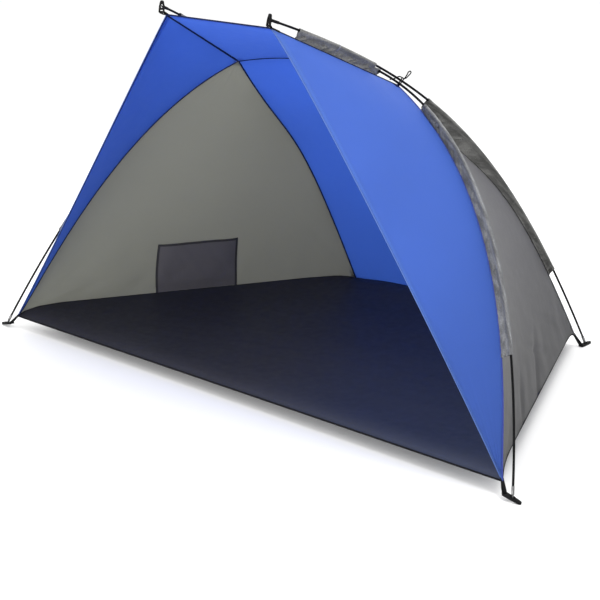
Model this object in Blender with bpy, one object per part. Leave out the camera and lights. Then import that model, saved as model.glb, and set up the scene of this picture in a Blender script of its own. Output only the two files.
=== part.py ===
"""Beach shelter on three shock-corded fibreglass poles.

A hoop pole runs from one front foot over the crown to the other. Two rib poles
run from the rear feet up past the hoop to the front tips. A polyester canopy of
seven panels hangs inside the poles, in fin-shaped sleeves sewn to its seams.

Metres, +Z up, ground at z = 0, +X to the right as seen by someone looking in at
the open front, +Y towards the back. The origin is on the ground, midway between
the furthest points on each side.
"""

import math

import bmesh
import bpy
from mathutils import Matrix, Vector

# ---------------------------------------------------------------- driving dimensions
FRONT_LINE_Y = -0.6138        # the two front pole ends stand on this line
HALF_SPAN = 1.100             # centre line to a front pole end
REAR_HALF_SPAN = 0.509        # centre line to a rear pole end
DEPTH = 1.223                 # front pole ends to rear pole ends

POLE_RADIUS = 0.0035
POLE_BORE = 0.0021
CORD_RADIUS = 0.00125
FERRULE_RADIUS = 0.0045
FERRULE_BORE = 0.0038
FERRULE_LENGTH = 0.060
PIN_RADIUS = 0.0022
GAP = 0.0003                  # between faces that touch

FABRIC = 0.0020               # stands for the cloth, its coating and its seam allowance
SEAM_INSET = 0.0032           # panel edge to seam line
SLEEVE_WALL = 0.0010
SLEEVE_BORE = 0.0058
SLEEVE_ROOT = 0.0040          # sleeve edge to seam line

PLATE_THICKNESS = 0.0070
PLATE_HOLE = 0.0058
FRONT_FOOT_SLOPE = math.radians(12.0)
TAPE_WIDTH = 0.0120
TAPE = 0.0012

SIDES = {"right": 1.0, "left": -1.0}


def at(x, y, z):
    """A point whose y is measured from the front pole line."""
    return Vector((x, y + FRONT_LINE_Y, z))


# The right-hand side. Corners of the canopy, then the poles.
FOOT_CORNER = at(1.054, 0.015, 0.042)
REAR_CORNER = at(0.494, 1.177, 0.040)
TIP_CORNER = at(0.216, -0.002, 1.169)
CROSS_CORNER = at(0.333, 0.408, 0.972)

HOOP_HALF = (at(HALF_SPAN, 0.0, 0.0065), at(0.881, 0.315, 0.692), at(0.520, 0.434, 1.032),
             at(0.0, 0.434, 1.032))
RIB = (at(REAR_HALF_SPAN, DEPTH, 0.0015), at(0.460, 0.789, 0.754), at(0.368, 0.537, 0.989),
       at(0.222, -0.018, 1.196))
CROWN_SEAM_RISE = 0.036       # crown seam at the middle, above the crossing corners
SIDE_SEAM_LIFT = 0.036        # floor and side seam, above the line between its corners
SIDE_SEAM_INSET = 0.008
REAR_SEAM_LIFT = 0.026

# ---------------------------------------------------------------- start empty
for old in list(bpy.data.objects):
    bpy.data.objects.remove(old, do_unlink=True)


# ---------------------------------------------------------------- materials
def material(name, color, roughness, metallic=0.0):
    made = bpy.data.materials.new(name)
    made.use_nodes = True
    shader = made.node_tree.nodes["Principled BSDF"]
    shader.inputs["Base Color"].default_value = (*color, 1.0)
    shader.inputs["Roughness"].default_value = roughness
    shader.inputs["Metallic"].default_value = metallic
    return made


BLUE = material("blue_polyester", (0.055, 0.150, 0.600), 0.55)
GREY = material("grey_polyester", (0.190, 0.190, 0.190), 0.60)
FLOOR = material("floor_polyethylene", (0.022, 0.024, 0.040), 0.50)
POCKET = material("pocket_fabric", (0.060, 0.058, 0.066), 0.65)
FIBREGLASS = material("fibreglass", (0.012, 0.012, 0.013), 0.35)
STEEL = material("plated_steel", (0.600, 0.600, 0.590), 0.30, 1.0)
PLASTIC = material("black_plastic", (0.014, 0.014, 0.015), 0.40)
WEBBING = material("black_webbing", (0.015, 0.015, 0.016), 0.80)
ELASTIC = material("shock_cord", (0.700, 0.700, 0.680), 0.80)


# ---------------------------------------------------------------- curves
def bezier(points):
    p0, p1, p2, p3 = points

    def curve(t):
        s = 1.0 - t
        return p0 * s**3 + p1 * (3 * s * s * t) + p2 * (3 * s * t * t) + p3 * t**3

    return curve


def line(a, b):
    return lambda t: a.lerp(b, t)


def mirrored(curve, side):
    """The curve on the given side: side is 1 on the right and -1 on the left."""
    return lambda t: Vector((curve(t).x * side, curve(t).y, curve(t).z))


def flipped(curve):
    return lambda t: curve(1.0 - t)


def across(half):
    """A curve from the left end over the middle to the right end of a half curve,
    which runs from the right-hand end to the middle."""

    def whole(t):
        if t < 0.5:
            p = half(2.0 * t)
            return Vector((-p.x, p.y, p.z))
        return half(2.0 - 2.0 * t)

    return whole


def plateau(t, power=14):
    """0 at both ends and nearly 1 between them."""
    return 1.0 - abs(2.0 * t - 1.0) ** power


def side_seam(t):
    """Floor and side panel seam, from the foot corner to the rear corner."""
    p = FOOT_CORNER.lerp(REAR_CORNER, t)
    lift = SIDE_SEAM_LIFT - 0.010 * t
    return p + Vector((-SIDE_SEAM_INSET, 0.0, lift)) * plateau(t)


def rear_seam(t):
    """Floor and back panel seam, from left to right."""
    left = Vector((-REAR_CORNER.x, REAR_CORNER.y, REAR_CORNER.z))
    return left.lerp(REAR_CORNER, t) + Vector((0.0, 0.0, REAR_SEAM_LIFT)) * plateau(t, 4)


def crown_seam(t):
    """Roof and back panel seam, from left to right."""
    x = CROSS_CORNER.x * (2.0 * t - 1.0)
    arch = 1.0 - (2.0 * t - 1.0) ** 2
    return Vector((x, CROSS_CORNER.y + 0.012 * arch, CROSS_CORNER.z + CROWN_SEAM_RISE * arch))


hoop_half = bezier(HOOP_HALF)
hoop = across(hoop_half)
rib = bezier(RIB)
hoop_seam = bezier((FOOT_CORNER, at(1.000, 0.066, 0.135), at(0.873, 0.338, 0.708), CROSS_CORNER))
rib_seam = bezier((REAR_CORNER, at(0.439, 0.762, 0.767), at(0.401, 0.734, 0.616), CROSS_CORNER))
front_hem = bezier((TIP_CORNER, at(0.304, 0.014, 1.078), at(0.776, 0.032, 0.429), FOOT_CORNER))
ridge_seam = line(TIP_CORNER, CROSS_CORNER)


class Route:
    """A curve read by its length."""

    STEPS = 400

    def __init__(self, curve):
        self.points = [curve(i / self.STEPS) for i in range(self.STEPS + 1)]
        self.measure()

    def measure(self):
        self.lengths = [0.0]
        for a, b in zip(self.points, self.points[1:]):
            self.lengths.append(self.lengths[-1] + (b - a).length)
        self.length = self.lengths[-1]

    def point(self, s):
        for i in range(self.STEPS):
            if s <= self.lengths[i + 1] or i == self.STEPS - 1:
                share = (s - self.lengths[i]) / (self.lengths[i + 1] - self.lengths[i])
                return self.points[i].lerp(self.points[i + 1], share)

    def tangent(self, s, step=0.004):
        low, high = max(0.0, s - step), min(self.length, s + step)
        return (self.point(high) - self.point(low)).normalized()

    def nearest(self, p):
        return min(self.points, key=lambda q: (q - p).length)

    def straighten(self, low, high):
        """Lays the stretch between two lengths straight, as a steel sleeve does."""
        a, b = self.point(low), self.point(high)
        for i, s in enumerate(self.lengths):
            if low <= s <= high:
                self.points[i] = a.lerp(b, (s - low) / (high - low))
        self.measure()


# ---------------------------------------------------------------- mesh builders
def mesh_object(name, vertices, faces, slot, smooth=True):
    mesh = bpy.data.meshes.new(name)
    mesh.from_pydata([tuple(v) for v in vertices], [], faces)
    work = bmesh.new()
    work.from_mesh(mesh)
    bmesh.ops.recalc_face_normals(work, faces=work.faces)
    work.to_mesh(mesh)
    work.free()
    made = bpy.data.objects.new(name, mesh)
    bpy.context.collection.objects.link(made)
    made.data.materials.append(slot)
    if smooth:
        mesh.shade_smooth()
        mesh.set_sharp_from_angle(angle=math.radians(35))
    return made


def frames(route, stations):
    """A square pair of cross directions at each station, turning as little as it can."""
    result = []
    side = None
    for s in stations:
        tangent = route.tangent(s)
        if side is None:
            side = tangent.cross(Vector((0.3, 1.0, 0.2))).normalized()
        side = (side - tangent * side.dot(tangent)).normalized()
        result.append((route.point(s), side, tangent.cross(side)))
    return result


def ring_of(center, u, v, radius, sides):
    turn = 2.0 * math.pi / sides
    return [center + (u * math.cos(turn * k) + v * math.sin(turn * k)) * radius for k in range(sides)]


def spread(start, end, step):
    """Lengths from start to end, evenly spaced and at most a step apart."""
    count = max(1, math.ceil((end - start) / step))
    return [start + (end - start) * i / count for i in range(count + 1)]


def tube(name, route, stations, radius, bore, slot, sides=8):
    """A tube along a route, with a ring at each station, or a rod where bore is 0."""
    count = len(stations)
    vertices, faces = [], []
    for radius_now in (radius, bore) if bore else (radius,):
        for center, u, v in frames(route, stations):
            vertices += ring_of(center, u, v, radius_now, sides)
    inner = count * sides
    for i in range(count - 1):
        for k in range(sides):
            a, b = i * sides + k, i * sides + (k + 1) % sides
            faces.append((a, b, b + sides, a + sides))
            if bore:
                faces.append((inner + b, inner + a, inner + a + sides, inner + b + sides))
    last = (count - 1) * sides
    if bore:
        for k in range(sides):
            n = (k + 1) % sides
            faces.append((n, k, inner + k, inner + n))
            faces.append((last + k, last + n, inner + last + n, inner + last + k))
    else:
        faces.append(tuple(reversed(range(sides))))
        faces.append(tuple(range(last, last + sides)))
    return mesh_object(name, vertices, faces, slot)


def turned(name, profile, base, axis, slot, sides=12):
    """A solid of revolution: profile is (height along axis, radius) from axis to axis."""
    u = axis.cross(Vector((0.2, 1.0, 0.1))).normalized()
    v = axis.cross(u)
    vertices, rings, faces = [], [], []
    for height, radius in profile:
        center = base + axis * height
        if radius == 0.0:
            rings.append([len(vertices)])
            vertices.append(center)
        else:
            rings.append(list(range(len(vertices), len(vertices) + sides)))
            vertices += ring_of(center, u, v, radius, sides)
    for low, high in zip(rings, rings[1:]):
        for k in range(sides):
            n = (k + 1) % sides
            if len(low) == 1:
                faces.append((low[0], high[n], high[k]))
            elif len(high) == 1:
                faces.append((low[k], low[n], high[0]))
            else:
                faces.append((low[k], low[n], high[n], high[k]))
    return mesh_object(name, vertices, faces, slot)


def coons(bottom, top, left, right):
    """The surface between four curves: bottom and top run with u, left and right with v."""
    c00, c10, c01, c11 = bottom(0.0), bottom(1.0), top(0.0), top(1.0)

    def surface(u, v):
        ruled_v = bottom(u).lerp(top(u), v)
        ruled_u = left(v).lerp(right(v), u)
        corners = c00.lerp(c10, u).lerp(c01.lerp(c11, u), v)
        return ruled_v + ruled_u - corners

    return surface


def skin(name, surface, v_range, columns, rows, thickness, slot, inset=SEAM_INSET, u_range=(0.0, 1.0)):
    """A closed sheet on a surface, inset from both side edges by a constant distance."""
    vertices, faces = [], []
    for j in range(rows + 1):
        v = v_range[0] + (v_range[1] - v_range[0]) * j / rows
        width = (surface(u_range[1], v) - surface(u_range[0], v)).length
        edge = inset / width * (u_range[1] - u_range[0])
        for i in range(columns + 1):
            u = u_range[0] + edge + (u_range[1] - u_range[0] - 2.0 * edge) * i / columns
            vertices.append(surface(u, v))
    across_row = columns + 1
    for j in range(rows):
        for i in range(columns):
            a = j * across_row + i
            faces.append((a, a + 1, a + across_row + 1, a + across_row))
    made = mesh_object(name, vertices, faces, slot)
    solid = made.modifiers.new("cloth", "SOLIDIFY")
    solid.thickness = thickness
    solid.offset = 0.0
    return made


# ---------------------------------------------------------------- canopy
def margins(length, inset=SEAM_INSET):
    return inset / length, 1.0 - inset / length


FLOOR_SAG = 0.040


def floor_surface():
    front = line(Vector((-FOOT_CORNER.x, FOOT_CORNER.y, FOOT_CORNER.z)), FOOT_CORNER)
    taut = coons(front, rear_seam, mirrored(side_seam, -1.0), side_seam)

    def sagged(u, v):
        p = taut(u, v)
        p.z -= FLOOR_SAG * plateau(u, 6) * plateau(v, 6)
        return p

    return sagged


skin("floor_sheet", floor_surface(), margins(1.16), 14, 10, FABRIC, FLOOR)

back_surface = coons(rear_seam, crown_seam, mirrored(rib_seam, -1.0), rib_seam)
skin("back_panel", back_surface, margins(1.05), 8, 12, FABRIC, BLUE)

roof_front = line(Vector((-TIP_CORNER.x, TIP_CORNER.y, TIP_CORNER.z)), TIP_CORNER)
roof_surface = coons(crown_seam, roof_front, mirrored(flipped(ridge_seam), -1.0), flipped(ridge_seam))
skin("roof_panel", roof_surface, margins(0.46), 8, 5, FABRIC, BLUE)


def side_surface(side):
    apex = Vector((CROSS_CORNER.x * side, CROSS_CORNER.y, CROSS_CORNER.z))
    return coons(mirrored(side_seam, side), lambda t: apex, mirrored(hoop_seam, side),
                 mirrored(rib_seam, side))


def wing_surface(side):
    apex = Vector((FOOT_CORNER.x * side, FOOT_CORNER.y, FOOT_CORNER.z))
    return coons(mirrored(ridge_seam, side), lambda t: apex, mirrored(front_hem, side),
                 mirrored(flipped(hoop_seam), side))


for word, side in SIDES.items():
    side_rows = (margins(1.25)[0], 0.984)
    wing_rows = (margins(1.45)[0], 0.975)
    skin(f"side_panel_{word}", side_surface(side), side_rows, 9, 12, FABRIC, GREY)
    skin(f"wing_panel_{word}", wing_surface(side), wing_rows, 6, 14, FABRIC, BLUE)

# The pocket stands on the inside of the left side panel, on the floor seam. Its corners
# are shares of the panel, along the floor seam and up to the crossing corner.
POCKET_FRONT_LOW, POCKET_REAR_LOW = (0.387, 0.006), (0.626, 0.010)
POCKET_FRONT_TOP, POCKET_REAR_TOP = (0.410, 0.199), (0.673, 0.147)
POCKET_STANDOFF = 0.0045
POCKET_FABRIC = 0.0015


def pocket_surface():
    panel = side_surface(-1.0)
    low_front, low_rear, top_front, top_rear = (
        Vector(corner) for corner in (POCKET_FRONT_LOW, POCKET_REAR_LOW, POCKET_FRONT_TOP, POCKET_REAR_TOP))

    def surface(u, v):
        x, y = low_front.lerp(low_rear, u).lerp(top_front.lerp(top_rear, u), v)
        p = panel(x, y)
        along = panel(x + 0.01, y) - p
        up = panel(x, y + 0.01) - p
        inward = along.cross(up).normalized()
        if inward.x < 0.0:
            inward.negate()
        return p + inward * POCKET_STANDOFF

    return surface


skin("storage_pocket", pocket_surface(), (0.0, 1.0), 4, 3, POCKET_FABRIC, POCKET, 0.0)


# ---------------------------------------------------------------- sleeves
def sleeve(name, pole, seam, start, end, slot, stations=14):
    """A strip folded round the pole, its two edges sewn to the seam. The cut section is
    (distance out from the seam, distance to the side)."""
    vertices, faces = [], []
    route_seam = Route(seam)
    arc = [math.radians(a) for a in (-90, -45, 0, 45, 90)]
    half_gap = 0.0005
    for i in range(stations):
        s = start + (end - start) * i / (stations - 1)
        center, tangent = pole.point(s), pole.tangent(s)
        foot = route_seam.nearest(center)
        out = center - foot
        reach = out.length
        out = (out - tangent * out.dot(tangent)).normalized()
        cross = tangent.cross(out)
        rows = []
        for radius, edge in ((SLEEVE_BORE + SLEEVE_WALL, half_gap + SLEEVE_WALL), (SLEEVE_BORE, half_gap)):
            row = [(SLEEVE_ROOT, -edge)]
            row += [(reach + radius * math.cos(a), radius * math.sin(a)) for a in arc]
            row += [(SLEEVE_ROOT, edge)]
            rows.append(row)
        for row in rows:
            vertices += [center + out * (x - reach) + cross * y for x, y in row]
    span = len(arc) + 2
    for i in range(stations - 1):
        a = i * 2 * span
        b = a + 2 * span
        for k in range(span - 1):
            faces.append((a + k, a + k + 1, b + k + 1, b + k))
            faces.append((a + span + k + 1, a + span + k, b + span + k, b + span + k + 1))
        faces.append((a + span, a, b, b + span))
        faces.append((a + span - 1, a + 2 * span - 1, b + 2 * span - 1, b + span - 1))
    last = (stations - 1) * 2 * span
    for k in range(span - 1):
        faces.append((k + 1, k, span + k, span + k + 1))
        faces.append((last + k, last + k + 1, last + span + k + 1, last + span + k))
    return mesh_object(name, vertices, faces, slot)


END_CUP = 0.022            # depth of the cup on a pole's end
END_PIN = 0.014            # length of the pin below it
POLE_STEP = 0.065          # between rings where a pole bends
STRAIGHT_END = END_PIN + END_CUP + 0.002
STRAIGHT_HALF = FERRULE_LENGTH / 2.0 + 0.003
HOOP_SHARES = (1, 2, 3, 4, 5)      # where the hoop's sections meet, in sixths
RIB_JOINTS = (0.575, 1.135)        # where a rib's sections meet, from its rear end


def hoop_joints(route):
    return [END_PIN + (route.length - 2.0 * END_PIN) * share / 6.0 for share in HOOP_SHARES]


def pole_route(curve, joints=None):
    """A pole's own line: it bends, but not inside its steel sleeves and end cups."""
    route = Route(curve)
    for joint in joints or hoop_joints(route):
        route.straighten(joint - STRAIGHT_HALF, joint + STRAIGHT_HALF)
    route.straighten(0.0, STRAIGHT_END)
    route.straighten(route.length - STRAIGHT_END, route.length)
    return route


HOOP = pole_route(hoop)
RIB_SLEEVE = (0.352, 1.175)            # along a rib, from its rear end
ROOF_SLEEVE = (1.402, 1.688)
HOOP_SLEEVE = (0.392, 1.222)           # along the hoop, from either end
CROWN_SLEEVE_HALF = 0.255              # along the hoop, either side of its middle

ribs = {word: pole_route(mirrored(rib, side), RIB_JOINTS) for word, side in SIDES.items()}
for word, side in SIDES.items():
    seam = mirrored(hoop_seam, side)
    if word == "left":
        span = HOOP_SLEEVE
    else:
        span = (HOOP.length - HOOP_SLEEVE[1], HOOP.length - HOOP_SLEEVE[0])
    sleeve(f"hoop_sleeve_{word}", HOOP, seam, *span, GREY)
    sleeve(f"rear_sleeve_{word}", ribs[word], mirrored(rib_seam, side), *RIB_SLEEVE, GREY)
    sleeve(f"roof_sleeve_{word}", ribs[word], mirrored(ridge_seam, side), *ROOF_SLEEVE, GREY, 6)
middle = HOOP.length / 2.0
sleeve("crown_sleeve", HOOP, crown_seam, middle - CROWN_SLEEVE_HALF, middle + CROWN_SLEEVE_HALF, GREY, 9)


# ---------------------------------------------------------------- poles
def pole(name, route, joints):
    """Hollow sections, a steel joint sleeve at each joint, and a shock cord through the
    bore."""
    ends = [END_PIN + 0.0015, *joints, route.length - END_PIN - 0.0015]
    whole = []
    for i, (low, high) in enumerate(zip(ends, ends[1:])):
        bend_low = low + STRAIGHT_HALF if i else STRAIGHT_END
        bend_high = high - STRAIGHT_HALF if i < len(joints) else route.length - STRAIGHT_END
        bend = spread(bend_low, bend_high, POLE_STEP)
        stations = [low + GAP, *bend, high - GAP]
        whole += bend
        tube(f"{name}_section_{i + 1}", route, stations, POLE_RADIUS, POLE_BORE, FIBREGLASS)
        if i < len(joints):
            grip = [high - FERRULE_LENGTH / 2.0, high + FERRULE_LENGTH / 2.0]
            tube(f"{name}_joint_sleeve_{i + 1}", route, grip, FERRULE_RADIUS, FERRULE_BORE, STEEL, 12)
    inside = [END_PIN + 0.006, *whole, route.length - END_PIN - 0.006]
    tube(f"{name}_shock_cord", route, inside, CORD_RADIUS, 0.0, ELASTIC, 6)


def pole_end(route, at_start):
    """A pole's end point and the direction from it into the pole."""
    base = route.point(0.0 if at_start else route.length)
    inner = route.point(END_CUP if at_start else route.length - END_CUP)
    return base, (inner - base).normalized()


def end_pin(name, route, at_start, slot):
    """A cup on the pole's end, with a pin that stands in the fitting's hole."""
    base, axis = pole_end(route, at_start)
    cup_floor = END_PIN + 0.0008
    profile = [(0.0, 0.0), (0.0, 0.0018), (0.0012, PIN_RADIUS), (END_PIN - 0.003, PIN_RADIUS),
               (END_PIN - 0.001, FERRULE_RADIUS), (END_PIN + END_CUP, FERRULE_RADIUS),
               (END_PIN + END_CUP, FERRULE_BORE), (cup_floor, FERRULE_BORE), (cup_floor, 0.0)]
    turned(name, profile, base, axis, slot)


pole("hoop_pole", HOOP, hoop_joints(HOOP))
end_pin("hoop_end_pin_left", HOOP, True, STEEL)
end_pin("hoop_end_pin_right", HOOP, False, STEEL)
for word in SIDES:
    pole(f"rib_pole_{word}", ribs[word], RIB_JOINTS)
    end_pin(f"rib_rear_pin_{word}", ribs[word], True, STEEL)
    end_pin(f"rib_tip_pin_{word}", ribs[word], False, PLASTIC)


# ---------------------------------------------------------------- pole-end fittings
FOOT_HEEL, FOOT_TOE = 0.031, 0.029
TIP_HEEL, TIP_TOE = 0.020, 0.017
HEEL_HALF_WIDTH, WAIST_HALF_WIDTH, TOE_HALF_WIDTH = 0.0090, 0.0085, 0.0060
HEEL_LENGTH = 0.012        # the heel is full width this far from its edge
HEEL_CHAMFER = 0.002
EDGE_BEVEL = 0.0009
TOOL_DEPTH = 0.030         # cutters reach well past both faces of a plate
RELIEF_DEPTH = 0.010
RELIEF_LIFT = 0.002        # the bar is thinned up to this far below its centre
BAR = 0.0035               # plastic left between the slot and the heel
BAR_RISE = 0.0015          # centre of the bar above the plate's middle
SLOT = 0.0052
SLOT_HALF_WIDTH = 0.0066
LOOP_RADIUS = 0.0030       # inside radius of the tape round the bar
PIN_REACH = 0.0035         # a tip pin's end to its plate's middle, along the pin
FRONT_HOLE_HEIGHT = 0.0093         # so that the sloping toe's edge touches the ground


def cutter(name, mesh_from, matrix):
    made = mesh_from(name)
    made.matrix_world = matrix
    made.hide_render = True
    made.display_type = "WIRE"
    return made


def box_mesh(size):
    def build(name):
        x, y, z = (s / 2.0 for s in size)
        corners = [(i, j, k) for i in (-x, x) for j in (-y, y) for k in (-z, z)]
        faces = [(0, 1, 3, 2), (4, 6, 7, 5), (0, 4, 5, 1), (2, 3, 7, 6), (0, 2, 6, 4), (1, 5, 7, 3)]
        return mesh_object(name, corners, faces, PLASTIC, smooth=False)

    return build


def drill_mesh(radius, depth, sides=14):
    def build(name):
        turn = 2.0 * math.pi / sides
        outline = [(radius * math.cos(turn * k), radius * math.sin(turn * k)) for k in range(sides)]
        low = [(x, y, -depth / 2) for x, y in outline]
        high = [(x, y, depth / 2) for x, y in outline]
        faces = [(k, (k + 1) % sides, sides + (k + 1) % sides, sides + k) for k in range(sides)]
        faces += [tuple(reversed(range(sides))), tuple(range(sides, 2 * sides))]
        return mesh_object(name, low + high, faces, PLASTIC, smooth=False)

    return build


def cut(target, tool):
    step = target.modifiers.new(tool.name, "BOOLEAN")
    step.operation = "DIFFERENCE"
    step.object = tool


def fitting(name, pin_center, arm, normal, heel, toe):
    """A flat plastic arm: a hole for the pin, a slot for the tape at its heel and a
    rounded toe. Its local X runs from heel to toe and its local Z towards the pole."""
    arm = (arm - normal * arm.dot(normal)).normalized()
    matrix = Matrix((arm, normal.cross(arm), normal)).transposed().to_4x4()
    matrix.translation = pin_center
    outline = [(-heel + HEEL_CHAMFER, HEEL_HALF_WIDTH), (-heel, HEEL_HALF_WIDTH - HEEL_CHAMFER)]
    outline += [(x, -y) for x, y in reversed(outline)]
    outline += [(-heel + HEEL_LENGTH, -HEEL_HALF_WIDTH), (0.0, -WAIST_HALF_WIDTH)]
    for step in range(7):
        angle = math.radians(-90 + 30 * step)
        x = toe - TOE_HALF_WIDTH + TOE_HALF_WIDTH * math.cos(angle)
        outline.append((x, TOE_HALF_WIDTH * math.sin(angle)))
    outline += [(0.0, WAIST_HALF_WIDTH), (-heel + HEEL_LENGTH, HEEL_HALF_WIDTH)]
    count = len(outline)
    half = PLATE_THICKNESS / 2.0
    vertices = [(x, y, -half) for x, y in outline] + [(x, y, half) for x, y in outline]
    faces = [(k, (k + 1) % count, count + (k + 1) % count, count + k) for k in range(count)]
    faces += [tuple(reversed(range(count))), tuple(range(count, 2 * count))]
    made = mesh_object(name, vertices, faces, PLASTIC, smooth=False)
    made.matrix_world = matrix
    bevel = made.modifiers.new("edges", "BEVEL")
    bevel.width = EDGE_BEVEL
    bevel.segments = 1
    bevel.limit_method = "ANGLE"
    cut(made, cutter(f"{name}_drill", drill_mesh(PLATE_HOLE, TOOL_DEPTH), matrix))
    slot_at = matrix @ Matrix.Translation((-heel + BAR + SLOT / 2.0, 0.0, 0.0))
    cut(made, cutter(f"{name}_slot", box_mesh((SLOT, 2 * SLOT_HALF_WIDTH, TOOL_DEPTH)), slot_at))
    relief_at = matrix @ Matrix.Translation((-heel, 0.0, BAR_RISE - RELIEF_LIFT - RELIEF_DEPTH / 2.0))
    relief = box_mesh((2.0 * BAR + 0.001, 2 * SLOT_HALF_WIDTH, RELIEF_DEPTH))
    cut(made, cutter(f"{name}_relief", relief, relief_at))
    return made, matrix


def tape_loop(name, matrix, heel, corner, stop_short):
    """A closed loop of webbing: straight through the slot and round the heel bar, then
    sheared over to the canopy corner."""
    bar = matrix @ Vector((-heel + BAR / 2.0, 0.0, BAR_RISE))
    along, width, up = (matrix.to_3x3() @ Vector(axis) for axis in ((1, 0, 0), (0, 1, 0), (0, 0, 1)))
    run = corner - bar
    run *= 1.0 - stop_short / run.length
    top = run.dot(up)
    sideways = run - up * top
    straight = PLATE_THICKNESS / 2.0 - BAR_RISE + 0.001
    rows = []
    for radius, end, gap in ((LOOP_RADIUS + TAPE, top, TAPE + GAP), (LOOP_RADIUS, top - TAPE, GAP)):
        row = [(end, gap), (straight, radius)]
        row += [(radius * math.cos(math.radians(a)), radius * math.sin(math.radians(a)))
                for a in (90, 135, 180, 225, 270)]
        row += [(straight, -radius), (end, -gap)]
        rows.append(row)
    count = len(rows[0])
    vertices, faces = [], []
    for half_width in (-TAPE_WIDTH / 2.0, TAPE_WIDTH / 2.0):
        for row in rows:
            for height, x in row:
                lean = max(0.0, (height - straight) / (top - straight))
                vertices.append(bar + up * height + along * x + sideways * lean + width * half_width)
    outer, inner, far = 0, count, 2 * count
    for k in range(count):
        n = (k + 1) % count
        faces.append((outer + k, outer + n, far + outer + n, far + outer + k))
        faces.append((inner + n, inner + k, far + inner + k, far + inner + n))
        faces.append((outer + n, outer + k, inner + k, inner + n))
        faces.append((far + outer + k, far + outer + n, far + inner + n, far + inner + k))
    return mesh_object(name, vertices, faces, WEBBING)


def at_height(base, axis, height):
    """Where a line through base rises to a height."""
    return base + axis * ((height - base.z) / axis.z)


for word, side in SIDES.items():
    up_front = Vector((math.sin(FRONT_FOOT_SLOPE) * side, 0.0, math.cos(FRONT_FOOT_SLOPE)))
    hole = at_height(*pole_end(HOOP, side < 0.0), FRONT_HOLE_HEIGHT)
    foot, matrix = fitting(f"front_foot_{word}", hole, Vector((side, 0.0, 0.0)), up_front,
                           FOOT_HEEL, FOOT_TOE)
    ground = Matrix.Translation((hole.x, hole.y, -0.010))
    cut(foot, cutter(f"front_foot_{word}_ground", box_mesh((0.12, 0.12, 0.020)), ground))
    corner = Vector((FOOT_CORNER.x * side, FOOT_CORNER.y, FOOT_CORNER.z))
    tape_loop(f"front_tape_{word}", matrix, FOOT_HEEL, corner, 0.007)

    hole = at_height(*pole_end(ribs[word], True), PLATE_THICKNESS / 2.0)
    foot, matrix = fitting(f"rear_foot_{word}", hole, Vector((0.0, 1.0, 0.0)), Vector((0.0, 0.0, 1.0)),
                           FOOT_HEEL, FOOT_TOE)
    corner = Vector((REAR_CORNER.x * side, REAR_CORNER.y, REAR_CORNER.z))
    tape_loop(f"rear_tape_{word}", matrix, FOOT_HEEL, corner, 0.007)

    end, axis = pole_end(ribs[word], False)
    hole = end + axis * PIN_REACH
    normal = Vector((axis.x, axis.y, axis.z * 0.5)).normalized()
    tip, matrix = fitting(f"tip_holder_{word}", hole, Vector((0.0, -0.1, 1.0)), normal, TIP_HEEL, TIP_TOE)
    corner = Vector((TIP_CORNER.x * side, TIP_CORNER.y, TIP_CORNER.z))
    tape_loop(f"tip_tape_{word}", matrix, TIP_HEEL, corner, 0.002)


# ---------------------------------------------------------------- tie cords
# Each tie starts at the canopy's crossing corner, goes twice round both poles, stands up
# in a bight and ends in a short tail. The route is in millimetres from the crossing:
# midway between the two poles towards their feet, sideways towards the front, and up
# from the canopy.
TIE_RADIUS = 0.0015
TIE_ROUTE = (
    (-3, 1.5, -12), (-3, -4.5, -11), (-3, -9, -7), (-3, -10, 0), (-3, -7, 9), (-2.5, 0, 13),
    (-2, 8, 9), (-1, 10, 0), (0.5, 8, -9), (2, 0, -12.5), (2.5, -8, -9.5), (2.5, -12, -1),
    (2.5, -12, 6), (3, -8.5, 12.5), (4, -4, 18), (4, -1, 25), (3.6, 1, 32), (3, 3, 38),
    (6, 4, 43), (10, 4, 41), (10.3, 3.5, 35), (9, 3, 28), (8, 3.5, 21), (4, 7, 15),
    (-4, 7.5, 14), (-11, 3, 12.5), (-16, 0, 7), (-20, -1, 0), (-25, -1, -6), (-31, -1, -11),
)


def smoothed(points, between=2):
    """Points along a smooth curve through the given points."""
    result = []
    for i in range(len(points) - 1):
        a, b, c, d = (points[max(0, min(len(points) - 1, i + k))] for k in (-1, 0, 1, 2))
        for step in range(between):
            t = step / between
            result.append(((b * 2.0) + (c - a) * t + (a * 2.0 - b * 5.0 + c * 4.0 - d) * t * t
                           + (b * 3.0 - a - c * 3.0 + d) * t**3) * 0.5)
    result.append(points[-1])
    return result


def tie_cord(word, side):
    pairs = ((a, b) for a in HOOP.points if a.x * side > 0.1 for b in ribs[word].points)
    on_hoop, on_rib = min(pairs, key=lambda pair: (pair[0] - pair[1]).length)
    crossing = (on_hoop + on_rib) / 2.0
    corner = Vector((CROSS_CORNER.x * side, CROSS_CORNER.y, CROSS_CORNER.z))
    on_one, on_other = HOOP.points.index(on_hoop), ribs[word].points.index(on_rib)
    hoop_way = (HOOP.points[on_one + 4] - HOOP.points[on_one - 4]).normalized() * side
    rib_way = (ribs[word].points[on_other - 4] - ribs[word].points[on_other + 4]).normalized()
    along = (hoop_way + rib_way).normalized()
    up = crossing - corner
    up = (up - along * up.dot(along)).normalized()
    front = up.cross(along) * side
    if front.y > 0.0:
        front.negate()
    route = [crossing + (along * a + front * f + up * u) * 0.001 for a, f, u in TIE_ROUTE]
    shape = bpy.data.curves.new(f"tie_cord_{word}", "CURVE")
    shape.dimensions = "3D"
    shape.bevel_depth = TIE_RADIUS
    shape.bevel_resolution = 2
    shape.use_fill_caps = True
    path = smoothed(route)
    spline = shape.splines.new("POLY")
    spline.points.add(len(path) - 1)
    for point, place in zip(spline.points, path):
        point.co = (*place, 1.0)
    made = bpy.data.objects.new(f"tie_cord_{word}", shape)
    bpy.context.collection.objects.link(made)
    shape.materials.append(WEBBING)


for word, side in SIDES.items():
    tie_cord(word, side)
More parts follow.
